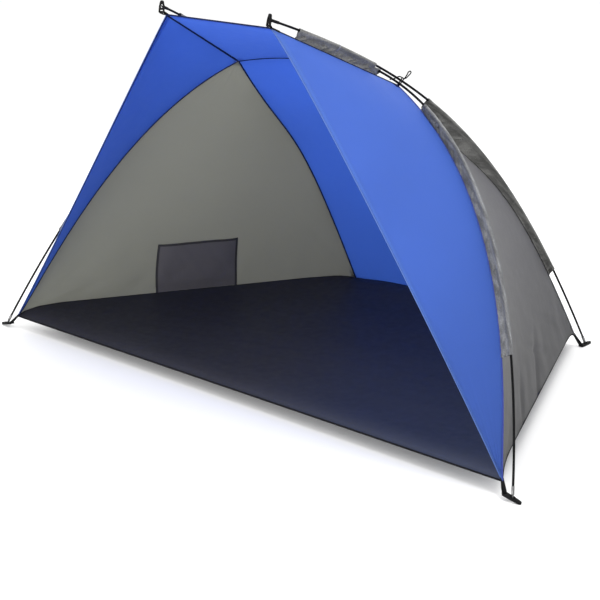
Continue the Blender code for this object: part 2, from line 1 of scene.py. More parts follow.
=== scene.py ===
"""Looks of the beach shelter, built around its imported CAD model.

Cloth panels, seams, hems, sleeves, poles, fittings and ties are made as fine meshes on
the same driving curves as the CAD. Metres, +Z up, the open front towards -Y.
"""

import math

import bpy
import numpy as np
from mathutils import Matrix, Vector


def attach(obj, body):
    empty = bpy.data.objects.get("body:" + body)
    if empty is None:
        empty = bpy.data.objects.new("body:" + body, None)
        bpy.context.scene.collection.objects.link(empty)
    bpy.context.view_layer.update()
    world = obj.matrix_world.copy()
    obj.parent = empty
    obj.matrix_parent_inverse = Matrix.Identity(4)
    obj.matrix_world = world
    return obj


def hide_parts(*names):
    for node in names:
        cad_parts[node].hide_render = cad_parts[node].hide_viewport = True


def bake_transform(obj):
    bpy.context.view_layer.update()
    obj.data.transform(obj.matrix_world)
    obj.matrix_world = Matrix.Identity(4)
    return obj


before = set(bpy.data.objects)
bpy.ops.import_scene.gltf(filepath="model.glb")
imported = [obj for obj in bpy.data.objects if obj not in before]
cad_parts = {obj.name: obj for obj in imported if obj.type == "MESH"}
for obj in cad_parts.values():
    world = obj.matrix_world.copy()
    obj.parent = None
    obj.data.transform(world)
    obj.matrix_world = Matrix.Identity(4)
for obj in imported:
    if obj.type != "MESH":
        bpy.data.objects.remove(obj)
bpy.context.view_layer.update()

ROOT = "canopy_and_poles"
SIDES = {"right": 1.0, "left": -1.0}

# ---- driving dimensions
FRONT_LINE_Y = -0.6138        # the two front pole ends stand on this line
HALF_SPAN = 1.100
REAR_HALF_SPAN = 0.509
DEPTH = 1.223

POLE_RADIUS = 0.0035
FERRULE_RADIUS = 0.0045
FERRULE_LENGTH = 0.060
PIN_RADIUS = 0.0022
END_CUP = 0.022
END_PIN = 0.014
STRAIGHT_END = END_PIN + END_CUP + 0.002
STRAIGHT_HALF = FERRULE_LENGTH / 2.0 + 0.003
GAP = 0.0003

PLATE_THICKNESS = 0.0070
FRONT_FOOT_SLOPE = math.radians(12.0)
FRONT_HOLE_HEIGHT = 0.0093
FOOT_HEEL, FOOT_TOE = 0.031, 0.029
TIP_HEEL, TIP_TOE = 0.020, 0.017
BAR = 0.0035
BAR_RISE = 0.0015
PIN_REACH = 0.0035

CLOTH = 0.0008                 # coated polyester, drawn a little thicker than it is
STITCH_PITCH = 0.0045
STITCH = ((-0.0015, 0.0, -0.0003), (-0.0008, 0.0003, 0.0002), (-0.0008, -0.0003, 0.0002),
          (0.0008, 0.0003, 0.0002), (0.0008, -0.0003, 0.0002), (0.0015, 0.0, -0.0003))
STITCH_FACES = ((0, 1, 2), (1, 3, 4, 2), (3, 5, 4), (0, 2, 4, 5), (0, 5, 3, 1))
PUCKER_REACH = 0.030           # how far gathers run in from a stitched edge
PUCKER_PITCH = 0.030
PUCKER_START = 0.006
FAN_START = 0.02               # folds fade out this close to their corner
SHARP_EDGE = math.radians(50)
ROUTE_SAMPLES = 401
SEAM_SAMPLES = 500
PIPING_SAMPLES = 120


def at(x, y, z):
    """A point whose y is measured from the front pole line."""
    return np.array((x, y + FRONT_LINE_Y, z))


FOOT_CORNER = at(1.054, 0.015, 0.042)
REAR_CORNER = at(0.494, 1.177, 0.040)
TIP_CORNER = at(0.216, -0.002, 1.169)
CROSS_CORNER = at(0.333, 0.408, 0.972)
SIDE_SEAM_INSET = 0.008
SIDE_SEAM_LIFT, SIDE_SEAM_FALL = 0.036, 0.010
REAR_SEAM_LIFT = 0.026
CROWN_SEAM_RISE, CROWN_SEAM_BOW = 0.036, 0.012
FLOOR_SAG = 0.040

HOOP_JOINTS = (1, 2, 3, 4, 5)          # in sixths of the hoop
RIB_JOINTS = (0.575, 1.135)            # from a rib's rear end
RIB_SLEEVE = (0.352, 1.175)
ROOF_SLEEVE = (1.402, 1.688)
HOOP_SLEEVE = (0.392, 1.222)           # along the hoop, from either end
CROWN_SLEEVE_HALF = 0.255
POCKET_CORNERS = ((0.387, 0.0015), (0.626, 0.0020), (0.410, 0.199), (0.673, 0.147))


# ---- curves
def bezier(*points):
    p = [np.asarray(q, float) for q in points]

    def curve(t):
        t = np.asarray(t, float)[..., None]
        s = 1.0 - t
        return p[0] * s**3 + 3 * p[1] * s * s * t + 3 * p[2] * s * t * t + p[3] * t**3

    return curve


def line(a, b):
    return lambda t: a + (b - a) * np.asarray(t, float)[..., None]


def flipped(curve):
    return lambda t: curve(1.0 - np.asarray(t, float))


def sided(curve, side):
    return lambda t: curve(t) * (side, 1.0, 1.0)


def plateau(t, power):
    """0 at both ends and nearly 1 between them."""
    return 1.0 - np.abs(2.0 * t - 1.0) ** power


def side_seam(t):
    t = np.asarray(t, float)[..., None]
    rise = np.concatenate((-SIDE_SEAM_INSET + 0 * t, 0 * t, SIDE_SEAM_LIFT - SIDE_SEAM_FALL * t), -1)
    return FOOT_CORNER + (REAR_CORNER - FOOT_CORNER) * t + rise * plateau(t, 14)


def rear_seam(t):
    t = np.asarray(t, float)[..., None]
    left = REAR_CORNER * (-1, 1, 1)
    return left + (REAR_CORNER - left) * t + np.array((0, 0, REAR_SEAM_LIFT)) * plateau(t, 4)


def crown_seam(t):
    t = np.asarray(t, float)[..., None]
    arch = 1.0 - (2.0 * t - 1.0) ** 2
    left = CROSS_CORNER * (-1, 1, 1)
    return left + (CROSS_CORNER - left) * t + np.array((0, CROWN_SEAM_BOW, CROWN_SEAM_RISE)) * arch


hoop_half = bezier(at(HALF_SPAN, 0, 0.0065), at(0.881, 0.315, 0.692), at(0.520, 0.434, 1.032),
                   at(0.0, 0.434, 1.032))
rib = bezier(at(REAR_HALF_SPAN, DEPTH, 0.0015), at(0.460, 0.789, 0.754), at(0.368, 0.537, 0.989),
             at(0.222, -0.018, 1.196))
hoop_seam = bezier(FOOT_CORNER, at(1.000, 0.066, 0.135), at(0.873, 0.338, 0.708), CROSS_CORNER)
rib_seam = bezier(REAR_CORNER, at(0.439, 0.762, 0.767), at(0.401, 0.734, 0.616), CROSS_CORNER)
front_hem = bezier(TIP_CORNER, at(0.304, 0.014, 1.078), at(0.776, 0.032, 0.429), FOOT_CORNER)
ridge_seam = line(TIP_CORNER, CROSS_CORNER)
floor_front = line(FOOT_CORNER * (-1, 1, 1), FOOT_CORNER)
roof_front = line(TIP_CORNER * (-1, 1, 1), TIP_CORNER)


def hoop(t):
    """From the left end over the middle to the right end."""
    t = np.asarray(t, float)
    side = np.where(t < 0.5, -1.0, 1.0)[..., None]
    return hoop_half(1.0 - np.abs(2.0 * t - 1.0)) * np.concatenate((side, abs(side), abs(side)), -1)


def unit(v):
    return v / np.maximum(np.linalg.norm(v, axis=-1, keepdims=True), 1e-12)


def lengths(points):
    """How far along a line each of its points is."""
    return np.concatenate(([0.0], np.cumsum(np.linalg.norm(np.diff(points, axis=0), axis=1))))


def read_line(s, known, values):
    """Values given along a line at lengths known, read at lengths s."""
    return np.stack([np.interp(s, known, column) for column in values.T], -1)


class Route:
    """A curve read by its length."""

    def __init__(self, points):
        self.points = np.array(points)
        self.measure()

    def measure(self):
        self.s = lengths(self.points)
        self.length = self.s[-1]

    def at(self, s):
        return read_line(s, self.s, self.points)

    def along(self, s, step=0.004):
        low, high = np.maximum(0.0, s - step), np.minimum(self.length, s + step)
        return unit(self.at(high) - self.at(low))

    def straighten(self, low, high):
        """Lays a stretch straight, as a steel sleeve does."""
        a, b = self.at(low), self.at(high)
        inside = (self.s >= low) & (self.s <= high)
        self.points[inside] = a + (b - a) * ((self.s[inside] - low) / (high - low))[:, None]
        self.measure()


def steps(low, high, step):
    return np.linspace(low, high, max(2, math.ceil((high - low) / step) + 1))


def pole_route(curve, section, joints=None):
    """A pole's own line: it bends, but not inside its steel sleeves and end cups. section
    names the part of it that cloth hangs on."""
    route = Route(curve(np.linspace(0.0, 1.0, ROUTE_SAMPLES)))
    joints = joints or [END_PIN + (route.length - 2 * END_PIN) * k / 6 for k in HOOP_JOINTS]
    for joint in joints:
        route.straighten(joint - STRAIGHT_HALF, joint + STRAIGHT_HALF)
    route.straighten(0.0, STRAIGHT_END)
    route.straighten(route.length - STRAIGHT_END, route.length)
    route.joints, route.section = joints, section
    return route


HOOP = pole_route(hoop, "hoop_pole_section_3")
RIBS = {word: pole_route(sided(rib, side), f"rib_pole_{word}_section_2", RIB_JOINTS)
        for word, side in SIDES.items()}


def nearest(points, to):
    """For each point, the nearest of a dense line's points."""
    gaps = np.linalg.norm(points[:, None, :] - to[None, :, :], axis=2)
    return to[gaps.argmin(axis=1)]


# ---- materials
# Painted shade: the outer cloths are drawn darker towards the ground, up to this height.
GROUND_SHADE_HEIGHT = 0.75
# The slant of the painted crease light and shade on the sleeves.
CREASE_LIGHT_SLANT = 0.14
# How far the floor's painted light runs to either side of the middle.
FLOOR_LIGHT_REACH = 0.85
POLE_HIGHLIGHT_REACH = 0.0085           # painted highlight: the cloth is drawn paler along the pole it is stretched over
POLE_HIGHLIGHT_TINTS = [(tint,) * 3 for tint in (1.0, 1.0, 1.6, 1.6, 1.6, 1.0, 1.0)]
THROUGH = 0.40                 # share of the light on thin cloth that goes through each face


class Nodes:
    """A material and short ways to add nodes to it."""

    def __init__(self, name):
        self.material = bpy.data.materials.new(name)
        self.material.use_nodes = True
        self.tree = self.material.node_tree
        self.shader = self.tree.nodes["Principled BSDF"]
        coordinates = self.add("ShaderNodeTexCoord").outputs
        self.place, self.uv = coordinates["Object"], coordinates["UV"]

    def feed(self, socket, value):
        """Links a socket to another, or gives it a value."""
        if isinstance(value, bpy.types.NodeSocket):
            self.tree.links.new(value, socket)
        else:
            socket.default_value = value

    def add(self, kind, **values):
        """A new node with its settings and inputs. In an input's name, _ is a space."""
        node = self.tree.nodes.new(kind)
        for key, value in values.items():
            if hasattr(node, key):
                setattr(node, key, value)
            else:
                self.feed(node.inputs[key.replace("_", " ")], value)
        return node

    def surface(self, **values):
        """Sets or links the shader's own inputs."""
        for key, value in values.items():
            self.feed(self.shader.inputs[key.replace("_", " ")], value)

    def scaled(self, source, scale):
        return self.add("ShaderNodeMapping", Vector=source, Scale=scale).outputs["Vector"]

    def noise(self, source, scale, detail=3.0, roughness=0.5):
        return self.add("ShaderNodeTexNoise", Vector=source, Scale=scale, Detail=detail,
                        Roughness=roughness).outputs["Fac"]

    def ramp(self, source, stops):
        node = self.add("ShaderNodeValToRGB", Fac=source)
        elements = node.color_ramp.elements
        while len(elements) < len(stops):
            elements.new(0.5)
        for element, (position, color) in zip(elements, stops):
            element.position = position
            element.color = (*color, 1.0)
        return node.outputs["Color"]

    def shaded(self, source, color, spread, low, high):
        """A darker shade of the colour up to source's low value, a lighter one from high."""
        shades = [tuple(c * (1.0 + k * spread) for c in color) for k in (-1.0, 1.0)]
        return self.ramp(source, list(zip((low, high), shades)))

    def mapped(self, value, limits, **settings):
        """A number between the last two limits, as value lies between the first two."""
        node = self.add("ShaderNodeMapRange", Value=value, **settings)
        for key, limit in zip(("From Min", "From Max", "To Min", "To Max"), limits):
            node.inputs[key].default_value = limit
        return node.outputs["Result"]

    def between(self, source, low, high):
        """A number from low to high as source goes from 0.3 to 0.7, where noise mostly lies."""
        return self.mapped(source, (0.3, 0.7, low, high))

    def axis(self, source, letter):
        return self.add("ShaderNodeSeparateXYZ", Vector=source).outputs[letter]

    def darken_to_ground(self, color, share):
        """The colour with painted shade: darker by a share at the ground, and unchanged above a set height.
        """
        rise = self.mapped(self.axis(self.place, "Z"), (0.0, GROUND_SHADE_HEIGHT, 1.0 - share, 1.0),
                           interpolation_type="SMOOTHSTEP")
        return self.times(color, rise)

    def crease_light_streaked(self, color, share):
        """The colour with painted crease light and shade: long slanting streaks, lighter and darker, that
        stand in for the shading of the cloth's creases.
        """
        turned = self.add("ShaderNodeMapping", Vector=self.uv, Rotation=(0.0, 0.0, CREASE_LIGHT_SLANT))
        lines = self.noise(self.scaled(turned.outputs["Vector"], (75.0, 11.0, 1.0)), 1.0, 4.0, 0.6)
        tones = ((0.42, 1.0 - share), (0.50, 1.0), (0.60, 1.0 + 1.6 * share))
        return self.times(color, self.ramp(lines, [(stop, (tone,) * 3) for stop, tone in tones]))

    def light_tinted(self, color, source, reach, light_tints):
        """The colour times tints of painted light that follow one another along X, from -reach to reach."""
        span = self.mapped(self.axis(source, "X"), (-reach, reach, 0.0, 1.0))
        stops = [(k / (len(light_tints) - 1.0), tint) for k, tint in enumerate(light_tints)]
        return self.times(color, self.ramp(span, stops))

    def times(self, a, b):
        product = self.add("ShaderNodeMix", data_type="RGBA", blend_type="MULTIPLY", Factor=1.0)
        inputs = [socket for socket in product.inputs if socket.type == "RGBA"]
        self.feed(inputs[0], a)
        self.feed(inputs[1], b)
        return next(socket for socket in product.outputs if socket.type == "RGBA")

    def bump(self, source, strength, distance, **under):
        node = self.add("ShaderNodeBump", Strength=strength, Distance=distance, Height=source, **under)
        return node.outputs["Normal"]

    def crossed(self, across, along):
        """Two sets of waves that cross, as threads do. across and along are their scales."""
        both = self.add("ShaderNodeMath", operation="ADD")
        for socket, scale, letter in zip(both.inputs, (across, along), "XY"):
            waves = self.add("ShaderNodeTexWave", Scale=scale, bands_direction=letter, Vector=self.uv)
            self.feed(socket, waves.outputs["Fac"])
        return both.outputs[0]


def cloth_material(name, color, roughness=0.6, sheen=0.15, weave=900.0, crease=0.25, gloss=0.30,
                   glow=None, ground_shade=0.0, mottle=0.0, crease_light_streaks=0.0, light_tints=None, pole_highlight=False):
    """Woven cloth: fine crossing threads, soft creases and uneven dye. glow is the colour
    of the light that thin cloth lets through. The other arguments, in order: how much painted
    shade darkens it towards the ground, how uneven its yarn is, how strongly painted light
    and shade show in long streaks for its creases, the painted light that its colour is
    multiplied by from left to right, and whether it has a painted highlight along a sleeve's pole."""
    m = Nodes(name)
    share = THROUGH if glow else 0.0
    dye_and_painted_light = m.shaded(m.noise(m.place, 5.0, 4.0), [c / (1.0 - share) for c in color], 0.035, 0.3, 0.7)
    if mottle:
        dye_and_painted_light = m.times(dye_and_painted_light, m.shaded(m.noise(m.place, 260.0, 2.0), (1.0, 1.0, 1.0), mottle, 0.35, 0.65))
    # Painted light and shade are multiplied into the colour below: crease streaks, a highlight along the pole
    # and light from left to right.
    if crease_light_streaks:
        dye_and_painted_light = m.crease_light_streaked(dye_and_painted_light, crease_light_streaks)
    if pole_highlight:
        dye_and_painted_light = m.light_tinted(dye_and_painted_light, m.uv, POLE_HIGHLIGHT_REACH, POLE_HIGHLIGHT_TINTS)
    if light_tints:
        dye_and_painted_light = m.light_tinted(dye_and_painted_light, m.place, FLOOR_LIGHT_REACH, light_tints)
    creased = m.bump(m.noise(m.place, 14.0, 5.0, 0.55), crease, 0.004)
    # Painted shade: the colour is darkened towards the ground.
    m.surface(Base_Color=m.darken_to_ground(dye_and_painted_light, ground_shade) if ground_shade else dye_and_painted_light,
              Roughness=m.between(m.noise(m.place, 38.0), roughness - 0.06, roughness + 0.06),
              Sheen_Weight=sheen, Sheen_Roughness=0.45, Specular_IOR_Level=gloss,
              Normal=m.bump(m.crossed(weave, weave), 0.12, 0.0002, Normal=creased))
    if glow:
        back = m.add("ShaderNodeBsdfTranslucent", Color=(*glow, 1.0))
        # The light let through is darkened towards the ground too: painted shade.
        if ground_shade:
            unshaded_glow = m.add("ShaderNodeRGB").outputs[0]
            unshaded_glow.default_value = (*glow, 1.0)
            m.feed(back.inputs["Color"], m.darken_to_ground(unshaded_glow, 0.4 * ground_shade))
        mix = m.add("ShaderNodeMixShader", Fac=share)
        m.feed(mix.inputs[1], m.shader.outputs["BSDF"])
        m.feed(mix.inputs[2], back.outputs["BSDF"])
        m.feed(m.tree.nodes["Material Output"].inputs["Surface"], mix.outputs["Shader"])
    return m.material


def webbing_material(name, color):
    """Ribbed webbing: coarse crossing ribs and a dusty nap."""
    m = Nodes(name)
    m.surface(Base_Color=m.shaded(m.noise(m.place, 420.0), color, 0.35, 0.35, 0.75), Roughness=0.78,
              Specular_IOR_Level=0.10, Normal=m.bump(m.crossed(260.0, 160.0), 0.55, 0.0006))
    return m.material


def plastic_material(name, color, roughness):
    """Moulded plastic: fine grain, with scuffs that are rougher."""
    m = Nodes(name)
    m.surface(Base_Color=m.shaded(m.noise(m.place, 60.0), color, 0.25, 0.35, 0.7),
              Roughness=m.between(m.noise(m.place, 210.0, 6.0), roughness - 0.08, roughness + 0.14),
              Specular_IOR_Level=0.08, Normal=m.bump(m.noise(m.place, 1500.0), 0.20, 0.0002))
    return m.material


def rod_material(name, color):
    """Pultruded fibreglass: satin, with a long fine grain."""
    m = Nodes(name)
    grain = m.noise(m.scaled(m.uv, (900.0, 6.0, 1.0)), 1.0, 2.0)
    m.surface(Base_Color=m.shaded(grain, color, 0.3, 0.35, 0.7), Roughness=m.between(grain, 0.34, 0.50),
              Specular_IOR_Level=0.06, Normal=m.bump(grain, 0.15, 0.0002))
    return m.material


def steel_material(name, color):
    """Plated steel: bright, drawn lengthwise, a little dull in patches."""
    m = Nodes(name)
    drawn = m.noise(m.scaled(m.uv, (1200.0, 20.0, 1.0)), 1.0, 2.0)
    m.surface(Base_Color=m.shaded(m.noise(m.place, 130.0), color, 0.12, 0.3, 0.7), Metallic=1.0,
              Roughness=m.between(drawn, 0.22, 0.38), Normal=m.bump(drawn, 0.08, 0.0002))
    return m.material


BLUE_LIGHT, GREY_LIGHT = (0.27, 0.45, 0.92), (0.58, 0.58, 0.545)
# Painted light: the floor sheeting is darker on the left, and lighter and bluer on the right, where light
# through the right wing falls.
FLOOR_LIGHT_TINTS = ((0.66, 0.64, 0.62), (1.06, 1.05, 1.05), (1.50, 1.68, 2.00))
# The outer blue and grey cloths, hem band and hem edge included, are drawn darker towards the ground: painted
# shade.
BLUE = cloth_material("blue_cloth", (0.036, 0.086, 0.300), gloss=0.25, glow=BLUE_LIGHT, ground_shade=0.32)
BLUE_BAND = cloth_material("blue_hem_cloth", (0.048, 0.110, 0.350), gloss=0.25, glow=BLUE_LIGHT, ground_shade=0.32)
BLUE_EDGE = cloth_material("blue_hem_edge", (0.048, 0.108, 0.340), 0.5, ground_shade=0.20)
# Painted shade: the darker blue of the strip outside the hoop seam, where the wing curves away.
BLUE_SEAM_SHADE = cloth_material("blue_seam_shade", (0.018, 0.036, 0.230))
# A copy of the blue cloth for the inside faces, with less red and green and more blue, set to the light
# inside the canopy: painted light and shade.
BLUE_INSIDE = cloth_material("blue_cloth_inside", (0.027, 0.073, 0.335), 0.55, 0.02, gloss=0.15,
                             glow=BLUE_LIGHT)
GREY = cloth_material("grey_cloth", (0.062, 0.0605, 0.073), gloss=0.25, glow=GREY_LIGHT, ground_shade=0.68)
# A copy of the grey cloth for the inside faces, drawn more than twice as light as the outside: painted light
# for the light that comes through the cloth.
GREY_INSIDE = cloth_material("grey_cloth_inside", (0.150, 0.152, 0.128), 0.55, 0.02, gloss=0.15,
                             glow=GREY_LIGHT)
# The sleeve cloths carry painted crease light and shade, and the hoop and crown sleeves also a painted
# highlight along the pole.
SLEEVE = cloth_material("sleeve_cloth", (0.099, 0.101, 0.105), 0.55, 0.1, crease=0.4, mottle=0.22,
                        crease_light_streaks=0.30, pole_highlight=True)
# The roof sleeves' cloth is the sleeve cloth drawn lighter: painted light on sleeves that face up.
SLEEVE_LIT = cloth_material("roof_sleeve_cloth", (0.142, 0.142, 0.138), 0.55, 0.1, crease=0.7,
                              mottle=0.22, crease_light_streaks=0.22)
SLEEVE_SHADE = cloth_material("rear_sleeve_cloth", (0.100, 0.100, 0.096), 0.55, 0.1, crease=0.7,
                              mottle=0.15, crease_light_streaks=0.34)
# The floor sheeting is drawn with painted light: darker left, lighter and bluer right.
FLOOR = cloth_material("floor_sheeting", (0.033, 0.034, 0.045), 0.50, 0.0, 420.0, 0.20, gloss=0.10,
                       light_tints=FLOOR_LIGHT_TINTS)
POCKET_EDGE = cloth_material("pocket_binding", (0.036, 0.035, 0.039), 0.7, 0.0, 700.0, gloss=0.1)
POCKET = cloth_material("pocket_cloth", (0.088, 0.084, 0.094), 0.6, 0.05, 700.0)
SEAM = cloth_material("seam_tape", (0.005, 0.009, 0.045), 0.8, 0.0, 700.0, gloss=0.08)
BINDING = cloth_material("black_binding", (0.0050, 0.0050, 0.0065), 0.8, 0.0, 500.0, gloss=0.08)
JOIN = cloth_material("sleeve_join_tape", (0.200, 0.205, 0.230))
BLUE_THREAD = cloth_material("blue_thread", (0.036, 0.090, 0.330))
# Paler thread for the wing hems' edge stitches: partly the thread's own colour, partly a painted highlight on
# the stitches.
PALE_THREAD = cloth_material("pale_blue_thread", (0.085, 0.140, 0.390))
GREY_THREAD = cloth_material("grey_thread", (0.120, 0.120, 0.122))
BLACK_THREAD = cloth_material("black_thread", (0.018, 0.018, 0.020))
WEBBING = webbing_material("black_webbing", (0.007, 0.007, 0.008))
CORD = webbing_material("tie_cord_braid", (0.006, 0.006, 0.007))
ELASTIC = webbing_material("shock_cord_braid", (0.500, 0.495, 0.470))
PLASTIC = plastic_material("black_moulding", (0.0055, 0.0055, 0.0060), 0.50)
FIBREGLASS = rod_material("black_fibreglass", (0.0040, 0.0040, 0.0045))
STEEL = steel_material("plated_steel", (0.20, 0.20, 0.20))


# ---- mesh builders
BLUE_SLOT, GREY_SLOT, BLACK_SLOT = "blue_polyester", "grey_polyester", "black_webbing"
FLOOR_SLOT, POCKET_SLOT, PLASTIC_SLOT = "floor_polyethylene", "pocket_fabric", "black_plastic"
INSIDE = np.array((0.0, 0.0, 0.40))


def new_object(name, data):
    made = bpy.data.objects.new(name, data)
    bpy.context.scene.collection.objects.link(made)
    return made


def mesh_piece(name, vertices, faces, materials, slot, node=None, uv=None, inner=None, body=ROOT):
    """A smooth mesh that rides on a body and may replace a CAD node. uv is one pair for each
    vertex, and inner the range of faces that use the second material."""
    mesh = bpy.data.meshes.new(name)
    mesh.from_pydata([tuple(v) for v in vertices], [], faces)
    for material in materials:
        mesh.materials.append(material)
    mesh.polygons.foreach_set("use_smooth", np.ones(len(faces), bool))
    if inner is not None:
        index = np.zeros(len(faces), np.int32)
        index[slice(*inner)] = 1
        mesh.polygons.foreach_set("material_index", index)
    if uv is not None:
        layer = mesh.uv_layers.new(name="UVMap")
        corner = np.zeros(len(mesh.loops), np.int32)
        mesh.loops.foreach_get("vertex_index", corner)
        layer.data.foreach_set("uv", np.asarray(uv, np.float32)[corner].ravel())
    mesh.set_sharp_from_angle(angle=SHARP_EDGE)
    made = new_object(name, mesh)
    if body:
        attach(made, body)
    if node:
        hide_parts(node)
    return made


def grid_faces(rows, columns, start=0, wrap=False, flip=False):
    """Quads of a grid of rows by columns points, closed round its columns if wrap."""
    i = np.arange(rows - 1)[:, None]
    j = np.arange(columns if wrap else columns - 1)[None, :]
    n = (j + 1) % columns
    a, b = i * columns + j, i * columns + n
    c, d = (i + 1) * columns + n, (i + 1) * columns + j
    quads = np.stack((a, d, c, b) if flip else (a, b, c, d), -1).reshape(-1, 4) + start
    return quads.tolist()


def turned(faces):
    return [tuple(reversed(face)) for face in faces]


def signed_volume(points, faces):
    total = 0.0
    for face in faces:
        a = points[face[0]]
        for b, c in zip(face[1:], face[2:]):
            total += np.dot(a, np.cross(points[b], points[c]))
    return total


def cut_uv(around, along):
    """One uv pair for each point of a cut carried along a line, in metres."""
    return np.stack(np.broadcast_arrays(around[None, :], along[:, None]), -1).reshape(-1, 2)


def coons(bottom, top, left, right):
    """The surface between four curves: bottom and top run with u, left and right with v."""
    c00, c10, c01, c11 = bottom(0.0), bottom(1.0), top(0.0), top(1.0)

    def surface(u, v):
        x, y = u[..., None], v[..., None]
        corners = (1 - x) * (1 - y) * c00 + x * (1 - y) * c10 + (1 - x) * y * c01 + x * y * c11
        return (1 - y) * bottom(u) + y * top(u) + (1 - x) * left(v) + x * right(v) - corners

    return surface


def grid_normals(p, inside):
    """Unit normals of a grid of points, turned away from a point inside the canopy."""
    n = np.cross(np.gradient(p, axis=1), np.gradient(p, axis=0))
    weak = np.linalg.norm(n, axis=-1) < 1e-9
    for row in range(1, len(p)):
        n[row][weak[row]] = n[row - 1][weak[row]]
    n = unit(n)
    away = np.sum(n * (p - inside), axis=-1).mean()
    return n if away > 0 else -n


def flat_uv(p):
    """The points on their own best plane, in metres."""
    flat = p.reshape(-1, 3)
    middle = flat.mean(0)
    axes = np.linalg.svd(flat[:: max(1, len(flat) // 400)] - middle, full_matrices=False)[2]
    return (flat - middle) @ axes[:2].T


def edge_distances(p):
    """How far each grid point is along the cloth from the left, right, bottom and top edges."""
    across = np.linalg.norm(np.diff(p, axis=1), axis=2)
    left = np.concatenate((np.zeros((len(p), 1)), np.cumsum(across, axis=1)), axis=1)
    up = np.linalg.norm(np.diff(p, axis=0), axis=2)
    bottom = np.concatenate((np.zeros((1, p.shape[1])), np.cumsum(up, axis=0)), axis=0)
    return left, left[:, -1:] - left, bottom, bottom[-1:] - bottom


def wobble(x, seed):
    """Smooth noise along a line, from -1 to 1, about one swing per unit."""
    return (np.sin(2.17 * x + seed) + np.sin(3.71 * x + 2.3 * seed + 1.0)
            + np.sin(5.93 * x + 4.1 * seed + 2.0) + 0.7 * np.sin(9.31 * x + 1.7 * seed)) / 3.7


def clamp(x):
    return np.clip(x, 0.0, 1.0)


def ease(x):
    x = clamp(x)
    return x * x * (3.0 - 2.0 * x)


def edge_puckers(edges, depth, seed):
    """Small gathers next to a panel's four stitched edges."""
    left, right, bottom, top = edges
    rows = ((left, bottom, 0.0), (right, bottom, 1.7), (bottom, left, 3.1), (top, left, 4.9))
    return sum(depth * np.exp(-away / PUCKER_REACH) * ease(away / PUCKER_START)
               * wobble(along * 1.7 / PUCKER_PITCH, seed + more) for away, along, more in rows)


def fan(p, corner, toward, depth, reach, folds, seed):
    """Folds that spread from a corner under tension."""
    away = p - corner
    r = np.linalg.norm(away, axis=-1)
    main = unit(toward - corner)
    side = away - (away @ main)[..., None] * main
    angle = np.arctan2(np.linalg.norm(side, axis=-1) * np.sign(side @ side.reshape(-1, 3)[-1] + 1e-12),
                       away @ main)
    return depth * np.exp(-r / reach) * ease(r / FAN_START) * wobble(angle * folds, seed)


def fans(p, rows):
    """Fans from several corners of a panel. A row is the corner, the corners whose middle
    the fan points at, and its depth, reach, folds and seed."""
    return sum(fan(p, p[corner], np.mean([p[other] for other in toward], axis=0), *folds)
               for corner, toward, *folds in rows)


class Panel:
    """A cloth panel: a grid of points on its middle surface with outward normals."""

    def __init__(self, p, n, flat, area):
        self.p, self.n, self.flat, self.area = p, n, flat, area

    @classmethod
    def sewn(cls, surface, size, relief, v_end=1.0, inside=INSIDE):
        """A panel on a surface, raised by a relief, which gets the points, their shares of
        the surface and their distances from the edges. Its flat size is the taut surface's."""
        u, v = np.meshgrid(np.linspace(0.0, 1.0, size[0]), np.linspace(0.0, v_end, size[1]))
        p = surface(u, v)
        across, up = np.diff(p, axis=1), np.diff(p, axis=0)
        sizes = [np.linalg.norm(step, axis=2).sum(axis=axis) for step, axis in ((across, 1), (up, 0))]
        area = float(np.linalg.norm(np.cross(across[:-1], up[:, :-1]), axis=-1).sum())
        p = p + grid_normals(p, inside) * relief(p, u, v, edge_distances(p))[..., None]
        return cls(p, grid_normals(p, inside), tuple(float(size.max()) for size in sizes), area)

    def band(self, edge, insets, lift=0.0):
        """Points at the given distances in from an edge, one row for each grid line that
        meets the edge, and the normals there."""
        turn = {"left": lambda g: g, "right": lambda g: g[:, ::-1], "bottom": lambda g: g.swapaxes(0, 1),
                "top": lambda g: g[::-1].swapaxes(0, 1)}[edge]
        p, n = turn(self.p), turn(self.n)
        points = np.array([read_line(insets, lengths(row), row) for row in p])
        normals = unit(np.array([read_line(insets, lengths(row), normal) for row, normal in zip(p, n)]))
        return points + normals * lift, normals

    def sample(self, u, v):
        """Points and normals at shares of the grid, for arrays u and v."""
        x, y = u * (self.p.shape[1] - 1), v * (self.p.shape[0] - 1)
        i = np.minimum(x.astype(int), self.p.shape[1] - 2)
        j = np.minimum(y.astype(int), self.p.shape[0] - 2)
        a, b = (x - i)[..., None], (y - j)[..., None]
        p, n = [(1 - b) * ((1 - a) * g[j, i] + a * g[j, i + 1])
                + b * ((1 - a) * g[j + 1, i] + a * g[j + 1, i + 1]) for g in (self.p, self.n)]
        return p, unit(n)


def closed_sheet(name, p, n, materials, slot, node=None, thickness=CLOTH):
    """A closed cloth sheet round a grid of points: outer skin, inner skin and a thin rim."""
    rows, columns = p.shape[:2]
    count = rows * columns
    i, j = rows // 2, columns // 2
    du = p[i, min(j + 1, columns - 1)] - p[i, max(0, j - 1)]
    dv = p[min(i + 1, rows - 1), j] - p[max(0, i - 1), j]
    flip = np.dot(np.cross(du, dv), n[i, j]) < 0
    outer = grid_faces(rows, columns, 0, flip=flip)
    inner = grid_faces(rows, columns, count, flip=not flip)
    edge = [*range(columns), *range(2 * columns - 1, count, columns),
            *range(count - 2, count - columns - 1, -1), *range(count - 2 * columns, 0, -columns)]
    rim = [(b, a, a + count, b + count) for a, b in zip(edge, edge[1:] + edge[:1])]
    vertices = np.concatenate([(p + n * side * thickness / 2).reshape(-1, 3) for side in (1.0, -1.0)])
    uv = flat_uv(p)
    return mesh_piece(name, vertices, outer + inner + (turned(rim) if flip else rim), materials, slot, node,
                      np.concatenate((uv, uv)), (len(outer), len(outer) + len(inner)))


